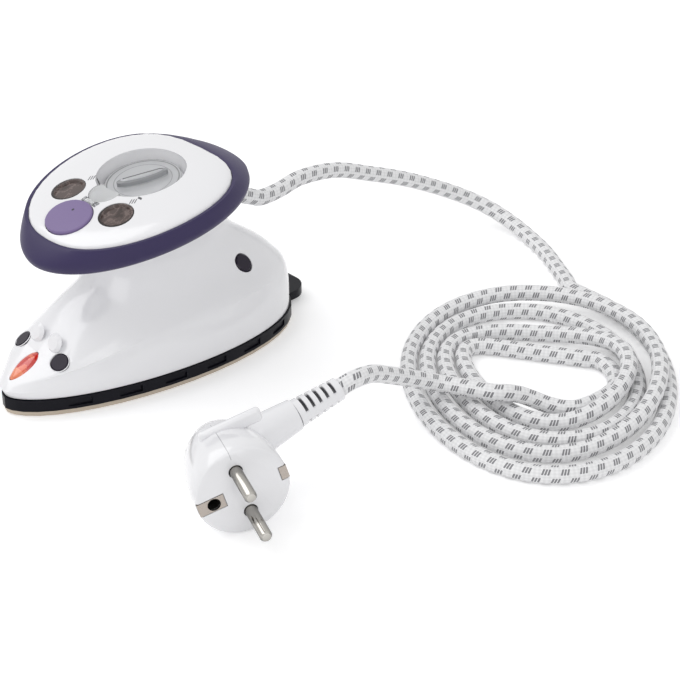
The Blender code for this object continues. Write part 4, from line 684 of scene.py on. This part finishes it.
def cord_tube(name, points, diameter, sides):
    """A closed tube round the points, with metres along and the share round as its map."""
    bm = bmesh.new()
    layer = bm.loops.layers.uv.new("cord_map")
    forward = (points[1] - points[0]).normalized()
    side = forward.cross(Vector((0, 0, 1))).normalized()
    rings, runs = [], [0.0]
    for index, point in enumerate(points):
        before, after = points[max(index - 1, 0)], points[min(index + 1, len(points) - 1)]
        forward = (after - before).normalized()
        side = (side - forward * side.dot(forward)).normalized()
        up = forward.cross(side)
        ring = []
        for number in range(sides):
            angle = 2 * math.pi * number / sides
            offset = side * math.cos(angle) + up * math.sin(angle)
            ring.append(bm.verts.new(point + offset * (diameter / 2)))
        if index:
            runs.append(runs[-1] + (point - before).length)
        rings.append(ring)
    for index in range(len(rings) - 1):
        for number in range(sides):
            follow = (number + 1) % sides
            corners = (
                (rings[index][number], runs[index], number),
                (rings[index + 1][number], runs[index + 1], number),
                (rings[index + 1][follow], runs[index + 1], number + 1),
                (rings[index][follow], runs[index], number + 1),
            )
            face = bm.faces.new([corner[0] for corner in corners])
            face.smooth = True
            for loop, (_, run, place) in zip(face.loops, corners):
                loop[layer].uv = (run, place / sides)
    bm.faces.new(rings[0])
    bm.faces.new(rings[-1][::-1])
    bmesh.ops.recalc_face_normals(bm, faces=bm.faces)
    return settled(name, bm)


def settled(name, bm):
    """The bmesh as an object at the origin."""
    mesh = bpy.data.meshes.new(name)
    bm.to_mesh(mesh)
    bm.free()
    made = bpy.data.objects.new(name, mesh)
    bpy.context.scene.collection.objects.link(made)
    return made


def finished(made, finish, body):
    material = finish.done() if isinstance(finish, Finish) else finish
    made.data.materials.clear()
    made.data.materials.append(material)
    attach(made, body)
    return made


def smoothed(node, finish, angle=None, rounds=0, reshape=None):
    """A smooth-shaded copy of a CAD node, standing for it, with its facets rounded if asked."""
    source = frame["nodes"][node]
    bm = bmesh.new()
    bm.from_mesh(source.data)
    bmesh.ops.remove_doubles(bm, verts=bm.verts, dist=0.00001)
    if reshape:
        for vertex in bm.verts:
            vertex.co = reshape(vertex.co)
    if rounds:
        bmesh.ops.join_triangles(
            bm, faces=bm.faces, angle_face_threshold=math.radians(35),
            angle_shape_threshold=math.radians(60),
        )
        crease = bm.edges.layers.float.new("crease_edge")
        for edge in bm.edges:
            edge[crease] = float(edge.calc_face_angle(0) > math.radians(angle or 40))
    made = settled(f"{node}_surface", bm)
    if rounds:
        rounding = made.modifiers.new("rounding", "SUBSURF")
        rounding.levels = rounding.render_levels = rounds
    stale = made.data.attributes.get("custom_normal")
    if stale:
        made.data.attributes.remove(stale)
    made.data.shade_smooth()
    limit = bpy.context.scene.press_iron.smooth_angle if angle is None else math.radians(angle)
    made.data.set_sharp_from_angle(angle=limit)
    finished(made, finish, source["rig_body"])
    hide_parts(node)
    return made


def middle_and_axis(node):
    """A short round node's middle and its own axis, the way in which it is thinnest."""
    points = np.array([v.co for v in frame["nodes"][node].data.vertices])
    middle = points.mean(axis=0)
    axis = Vector(np.linalg.svd(points - middle)[2][2])
    return Vector(middle), axis if axis.z > 0 else -axis


def ring_round(name, centre, axis, radius, thickness):
    """A thin round ring, spun about an axis."""
    bm = bmesh.new()
    section = bmesh.ops.create_circle(bm, segments=10, radius=thickness)["verts"]
    turn = Matrix.Translation((radius, 0, 0)) @ Matrix.Rotation(math.pi / 2, 4, "X")
    bmesh.ops.transform(bm, matrix=turn, verts=section)
    bmesh.ops.spin(
        bm, geom=bm.edges[:], axis=(0, 0, 1), cent=(0, 0, 0), angle=2 * math.pi, steps=48,
        use_merge=True,
    )
    bmesh.ops.remove_doubles(bm, verts=bm.verts, dist=0.000001)
    turned = Vector((0, 0, 1)).rotation_difference(axis).to_matrix().to_4x4()
    bmesh.ops.transform(bm, matrix=Matrix.Translation(centre) @ turned, verts=bm.verts)
    bmesh.ops.recalc_face_normals(bm, faces=bm.faces)
    made = settled(name, bm)
    made.data.shade_smooth()
    return made


def rounded_bar(name, centre, axes, halves, radius):
    """A bar with rounded edges, its axes given as three directions."""
    bm = bmesh.new()
    bmesh.ops.create_cube(bm, size=2)
    bmesh.ops.scale(bm, vec=halves, verts=bm.verts)
    bmesh.ops.bevel(
        bm, geom=bm.edges[:], offset=radius, segments=5, profile=0.5, affect="EDGES", material=-1
    )
    turned = Matrix([[axis[row] for axis in axes] for row in range(3)]).to_4x4()
    bmesh.ops.transform(bm, matrix=Matrix.Translation(centre) @ turned, verts=bm.verts)
    bmesh.ops.recalc_face_normals(bm, faces=bm.faces)
    made = settled(name, bm)
    made.data.shade_smooth()
    return made


class PRESSIRON_OT_camera(Operator):
    """Stand the camera where the photograph was taken"""

    bl_idname = "press_iron.camera"
    bl_label = "Camera"

    def execute(self, context):
        lens = bpy.data.cameras.new("photo_camera")
        lens.angle = math.radians(CAMERA_ANGLE_DEG)
        lens.clip_start = CAMERA_NEAR
        camera = bpy.data.objects.new("photo_camera", lens)
        context.scene.collection.objects.link(camera)
        forward = CAMERA_FORWARD.normalized()
        right = forward.cross(Vector((0, 0, 1))).normalized()
        up = right.cross(forward)
        turned = Matrix((right, up, -forward)).transposed().to_4x4()
        camera.matrix_world = Matrix.Translation(CAMERA_PLACE) @ turned
        context.scene.camera = camera
        return {"FINISHED"}


class PRESSIRON_OT_cord(Operator):
    """Lay the braided cord from the iron through its coil to the plug made before it"""

    bl_idname = "press_iron.cord"
    bl_label = "Cord"

    def execute(self, context):
        settings = context.scene.press_iron_cord
        points = cord_line(settings.diameter)
        made = cord_tube("braided_cord", points, settings.diameter, settings.sides)
        finished(made, braided_cord("braided_cord", settings), "iron")
        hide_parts("cord_iron_stretch", "cord_coil", "cord_plug_stretch")
        return {"FINISHED"}


class PRESSIRON_OT_base(Operator):
    """Finish the coated soleplate and the black heat skirt"""

    bl_idname = "press_iron.base"
    bl_label = "Soleplate and skirt"

    def execute(self, context):
        settings = context.scene.press_iron
        sole = brushed_metal("sole_coating", tuple(settings.sole), 0.36, (1, 0.04, 1), 0.55, 0.14)
        smoothed("soleplate", sole, 30)
        skirt = satin_plastic("skirt_plastic", tuple(settings.skirt), 0.32, 0.12)
        smoothed("skirt", skirt, 30)
        return {"FINISHED"}


class PRESSIRON_OT_body(Operator):
    """Finish the gloss white body shell"""

    bl_idname = "press_iron.body"
    bl_label = "Body shell"

    def execute(self, context):
        white = gloss_white("body_white", tuple(context.scene.press_iron.white))
        smoothed("body_shell", white, 42, 1)
        return {"FINISHED"}


class PRESSIRON_OT_screw_plugs(Operator):
    """Finish the four dark screw plugs and set a painted highlight, a thin white ring, round the
    front pair
    """

    bl_idname = "press_iron.screw_plugs"
    bl_label = "Screw plugs"

    def execute(self, context):
        colour = tuple(context.scene.press_iron.screw_plug)
        dark = satin_plastic("screw_plug_plastic", colour, 0.24, 0.25).done()
        white = gloss_white("eye_highlight_white", tuple(context.scene.press_iron.white)).done()
        for node in ("eye_plug_left", "eye_plug_right", "rear_plug_left", "rear_plug_right"):
            smoothed(node, dark, 35)
        for side in ("left", "right"):
            # Each white ring is a painted highlight round a front screw plug.
            centre, axis = middle_and_axis(f"eye_plug_{side}")
            place = centre + axis * EYE_HIGHLIGHT_RISE
            ring = ring_round(f"eye_highlight_ring_{side}", place, axis, EYE_HIGHLIGHT_RADIUS, EYE_HIGHLIGHT_THICKNESS)
            finished(ring, white, "iron")
        return {"FINISHED"}


class PRESSIRON_OT_lens(Operator):
    """Finish the red lens of the pilot lamp"""

    bl_idname = "press_iron.lens"
    bl_label = "Pilot lens"

    def execute(self, context):
        low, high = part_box("pilot_lens")

        def drop(point):
            """Fuller towards the rear, as the real lens is."""
            share = (point.y - low.y) / (high.y - low.y)
            wider = LENS_WIDEN_FRONT + LENS_WIDEN_REAR * share
            return Vector((point.x * wider, point.y, point.z - LENS_SINK))

        red = pilot_red("lens_red", tuple(context.scene.press_iron.lens))
        smoothed("pilot_lens", red, 50, reshape=drop)
        return {"FINISHED"}


class PRESSIRON_OT_handle(Operator):
    """Finish the soft rim, the white cover, the pan beneath and the cord gland"""

    bl_idname = "press_iron.handle"
    bl_label = "Handle"

    def execute(self, context):
        settings = context.scene.press_iron
        white = tuple(settings.white)
        smoothed("grip_rim", soft_rubber("rim_rubber", tuple(settings.rim)), 45, 2)
        smoothed("handle_cover", printed_cover("cover_white", white), 40)
        smoothed("handle_pan", gloss_white("pan_white", white), 40)
        smoothed("cord_gland", gloss_white("gland_white", white), 40)
        return {"FINISHED"}


class PRESSIRON_OT_dial(Operator):
    """Finish the clear temperature dial and the marked ring under it"""

    bl_idname = "press_iron.dial"
    bl_label = "Temperature dial"

    def execute(self, context):
        scale = marked_ring("scale_white", (0.88, 0.88, 0.90))
        smoothed("dial_scale_ring", scale, 35)
        clear = clear_dial("dial_clear", (0.86, 0.87, 0.89))
        smoothed("temperature_dial", clear, 32)
        return {"FINISHED"}


class PRESSIRON_OT_filler(Operator):
    """Finish the clear filler lid and the white funnel under it"""

    bl_idname = "press_iron.filler"
    bl_label = "Water filler"

    def execute(self, context):
        clear = clear_plastic("lid_clear", (0.88, 0.89, 0.90), 0.55)
        smoothed("filler_lid", clear, 35)
        funnel = gloss_white("funnel_white", (0.70, 0.71, 0.73))
        smoothed("filler_funnel", funnel, 35)
        return {"FINISHED"}


class PRESSIRON_OT_windows(Operator):
    """Finish the two smoky water windows"""

    bl_idname = "press_iron.windows"
    bl_label = "Water windows"

    def execute(self, context):
        colour = tuple(context.scene.press_iron.window)
        for side in ("left", "right"):
            low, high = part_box(f"water_window_{side}")
            middle, halves = (low + high) / 2, (high - low) / 2
            smoky = water_window(f"window_{side}", colour, (middle.x, middle.y, 0), halves)
            smoothed(f"water_window_{side}", smoky, 35)
        return {"FINISHED"}


class PRESSIRON_OT_button(Operator):
    """Finish the steam button with a small dark dot of painted shade for its vent hole"""

    bl_idname = "press_iron.button"
    bl_label = "Steam button"

    def execute(self, context):
        finish = satin_plastic("button_violet", tuple(context.scene.press_iron.button), 0.42)
        across, along, _ = finish.axes(BUTTON_VENT_SHADE_PLACE)
        # The dark dot is painted shade where the vent hole is.
        dot = (across * across + along * along) < BUTTON_VENT_SHADE_RADIUS**2
        smoothed("steam_button", finish.lay(dot, (0.01, 0.01, 0.02)), 40)
        return {"FINISHED"}


class PRESSIRON_OT_mains_plug(Operator):
    """Finish the angled mains plug, its relief, pins and earth pieces"""

    bl_idname = "press_iron.mains_plug"
    bl_label = "Mains plug"

    def execute(self, context):
        white = tuple(context.scene.press_iron.white)
        smoothed("plug_body", moulded_plug("plug_white", white), 62)
        ridge = rounded_bar(
            "plug_grip_ridge",
            FACE_CENTRE - FACE_NORMAL * RIDGE_BACK + PIN_LINE * RIDGE_RISE + EARTH_LINE * RIDGE_SIDE,
            (EARTH_LINE, PIN_LINE, -FACE_NORMAL),
            RIDGE_HALVES,
            RIDGE_ROUND,
        )
        finished(ridge, gloss_white("ridge_white", white), "iron")
        relief = slotted_relief("relief_white", white)
        smoothed("plug_strain_relief", relief, 35)
        nickel = plated_metal("pin_nickel", (0.62, 0.60, 0.56), 0.14).done()
        for node in ("plug_pin_upper", "plug_pin_lower"):
            smoothed(node, nickel, 35)
        strip = plated_metal("earth_nickel", (0.56, 0.50, 0.45), 0.28).done()
        for node in ("earth_strip", "earth_clip"):
            smoothed(node, strip, 30)
        return {"FINISHED"}


class PRESSIRON_OT_inside(Operator):
    """Give every hidden piece its own finish on its CAD mesh"""

    bl_idname = "press_iron.inside"
    bl_label = "Inner pieces"

    def execute(self, context):
        white = tuple(context.scene.press_iron.white)
        finishes = {
            "alloy": cast_metal("inner_alloy", (0.55, 0.55, 0.56)),
            "steel": brushed_metal("inner_steel", (0.62, 0.62, 0.64), 0.30, (1, 0.1, 1)),
            "white_plastic": gloss_white("inner_white", white),
            "clear_plastic": clear_plastic("inner_clear", (0.74, 0.75, 0.77), 0.5),
            "lamp_glass": clear_plastic("inner_lamp", (0.85, 0.55, 0.40), 0.3),
            "lead_sleeve": satin_plastic("inner_sleeve", (0.50, 0.50, 0.50), 0.6),
            "phenolic": speckled_resin("inner_resin", (0.10, 0.06, 0.04)),
        }
        materials = {slot: finish.done() for slot, finish in finishes.items()}
        for node, slot in INNER_FINISHES.items():
            for holder in frame["nodes"][node].material_slots:
                holder.material = materials[slot]
        return {"FINISHED"}


class PRESSIRON_OT_stage(Operator):
    """Lay the pale floor and set the soft studio light"""

    bl_idname = "press_iron.stage"
    bl_label = "Studio"

    def execute(self, context):
        settings = context.scene.press_iron_studio
        context.scene.view_settings.view_transform = "Standard"
        bm = bmesh.new()
        bmesh.ops.create_grid(bm, x_segments=1, y_segments=1, size=settings.floor_size / 2)
        floor = settled("floor", bm)
        finish = Finish("floor_paper", tuple(settings.floor), 0.9, **{"Specular IOR Level": 0.1})
        floor.data.materials.append(finish.grain(60, 0.004, 0.05).done())
        self.lift_white(finish, settings.floor_lift)
        self.light(context, "key_light", KEY_PLACE, settings.key_power, KEY_SIZE)
        self.light(context, "fill_light", FILL_PLACE, settings.fill_power, FILL_SIZE)
        self.sky(context, settings.sky)
        return {"FINISHED"}

    def lift_white(self, finish, lift):
        """Lets the floor be seen white, with its shadow kept; the light on the object stays."""
        rays = finish.tree.nodes.new("ShaderNodeLightPath")
        seen = [Wire(finish, rays.outputs[f"Is {kind} Ray"]) for kind in ("Camera", "Glossy")]
        through = Wire(finish, rays.outputs["Is Transmission Ray"])
        glow = finish.node("ShaderNodeEmission", {}, {"Color": (1.0, 1.0, 1.0), "Strength": lift})
        summed = finish.node("ShaderNodeAddShader", {}, {0: glow})
        output = finish.tree.nodes["Material Output"].inputs["Surface"]
        finish.tree.links.new(finish.shader.outputs[0], summed.socket.node.inputs[1])
        inputs = {0: seen[0].larger(seen[1]).larger(through), 2: summed}
        mixed = finish.node("ShaderNodeMixShader", {}, inputs)
        finish.tree.links.new(finish.shader.outputs[0], mixed.socket.node.inputs[1])
        finish.tree.links.new(mixed.socket, output)

    def light(self, context, name, place, power, size):
        lamp = bpy.data.lights.new(name, "AREA")
        lamp.energy = power
        lamp.size = size
        made = bpy.data.objects.new(name, lamp)
        context.scene.collection.objects.link(made)
        aim = Vector(LIGHT_TARGET) - Vector(place)
        turned = aim.to_track_quat("-Z", "Y").to_matrix().to_4x4()
        made.matrix_world = Matrix.Translation(place) @ turned

    def sky(self, context, strength):
        world = bpy.data.worlds.new("studio_sky")
        world.use_nodes = True
        context.scene.world = world
        nodes, links = world.node_tree.nodes, world.node_tree.links
        path = nodes.new("ShaderNodeLightPath")
        seen = nodes.new("ShaderNodeMath")
        seen.operation = "MAXIMUM"
        links.new(path.outputs["Is Camera Ray"], seen.inputs[0])
        links.new(path.outputs["Is Glossy Ray"], seen.inputs[1])
        through = nodes.new("ShaderNodeMath")
        through.operation = "MAXIMUM"
        links.new(seen.outputs[0], through.inputs[0])
        links.new(path.outputs["Is Transmission Ray"], through.inputs[1])
        level = nodes.new("ShaderNodeMapRange")
        level.inputs["To Min"].default_value = strength
        level.inputs["To Max"].default_value = 1.0
        links.new(through.outputs[0], level.inputs["Value"])
        background = nodes["Background"]
        background.inputs["Color"].default_value = (1, 1, 1, 1)
        links.new(level.outputs[0], background.inputs["Strength"])


OPERATORS = (
    PRESSIRON_OT_camera,
    PRESSIRON_OT_mains_plug,
    PRESSIRON_OT_cord,
    PRESSIRON_OT_base,
    PRESSIRON_OT_body,
    PRESSIRON_OT_screw_plugs,
    PRESSIRON_OT_lens,
    PRESSIRON_OT_handle,
    PRESSIRON_OT_dial,
    PRESSIRON_OT_filler,
    PRESSIRON_OT_windows,
    PRESSIRON_OT_button,
    PRESSIRON_OT_inside,
    PRESSIRON_OT_stage,
)


class PRESSIRON_PT_panel(Panel):
    """The press iron's pieces and settings"""

    bl_idname = "PRESSIRON_PT_panel"
    bl_label = "Press iron"
    bl_space_type = "VIEW_3D"
    bl_region_type = "UI"
    bl_category = "Press iron"

    def draw(self, context):
        for settings in (
            context.scene.press_iron,
            context.scene.press_iron_cord,
            context.scene.press_iron_studio,
        ):
            box = self.layout.box()
            for name in settings.__annotations__:
                box.prop(settings, name)
        for operator in OPERATORS:
            self.layout.operator(operator.bl_idname)


CLASSES = (CordSettings, IronSettings, StudioSettings, *OPERATORS, PRESSIRON_PT_panel)


def register():
    for made in CLASSES:
        bpy.utils.register_class(made)
    bpy.types.Scene.press_iron = PointerProperty(type=IronSettings)
    bpy.types.Scene.press_iron_cord = PointerProperty(type=CordSettings)
    bpy.types.Scene.press_iron_studio = PointerProperty(type=StudioSettings)


def unregister():
    del bpy.types.Scene.press_iron_studio
    del bpy.types.Scene.press_iron_cord
    del bpy.types.Scene.press_iron
    for made in reversed(CLASSES):
        bpy.utils.unregister_class(made)


def main():
    register()
    for operator in OPERATORS:
        group, name = operator.bl_idname.split(".")
        getattr(getattr(bpy.ops, group), name)()


if __name__ == "__main__":
    main()
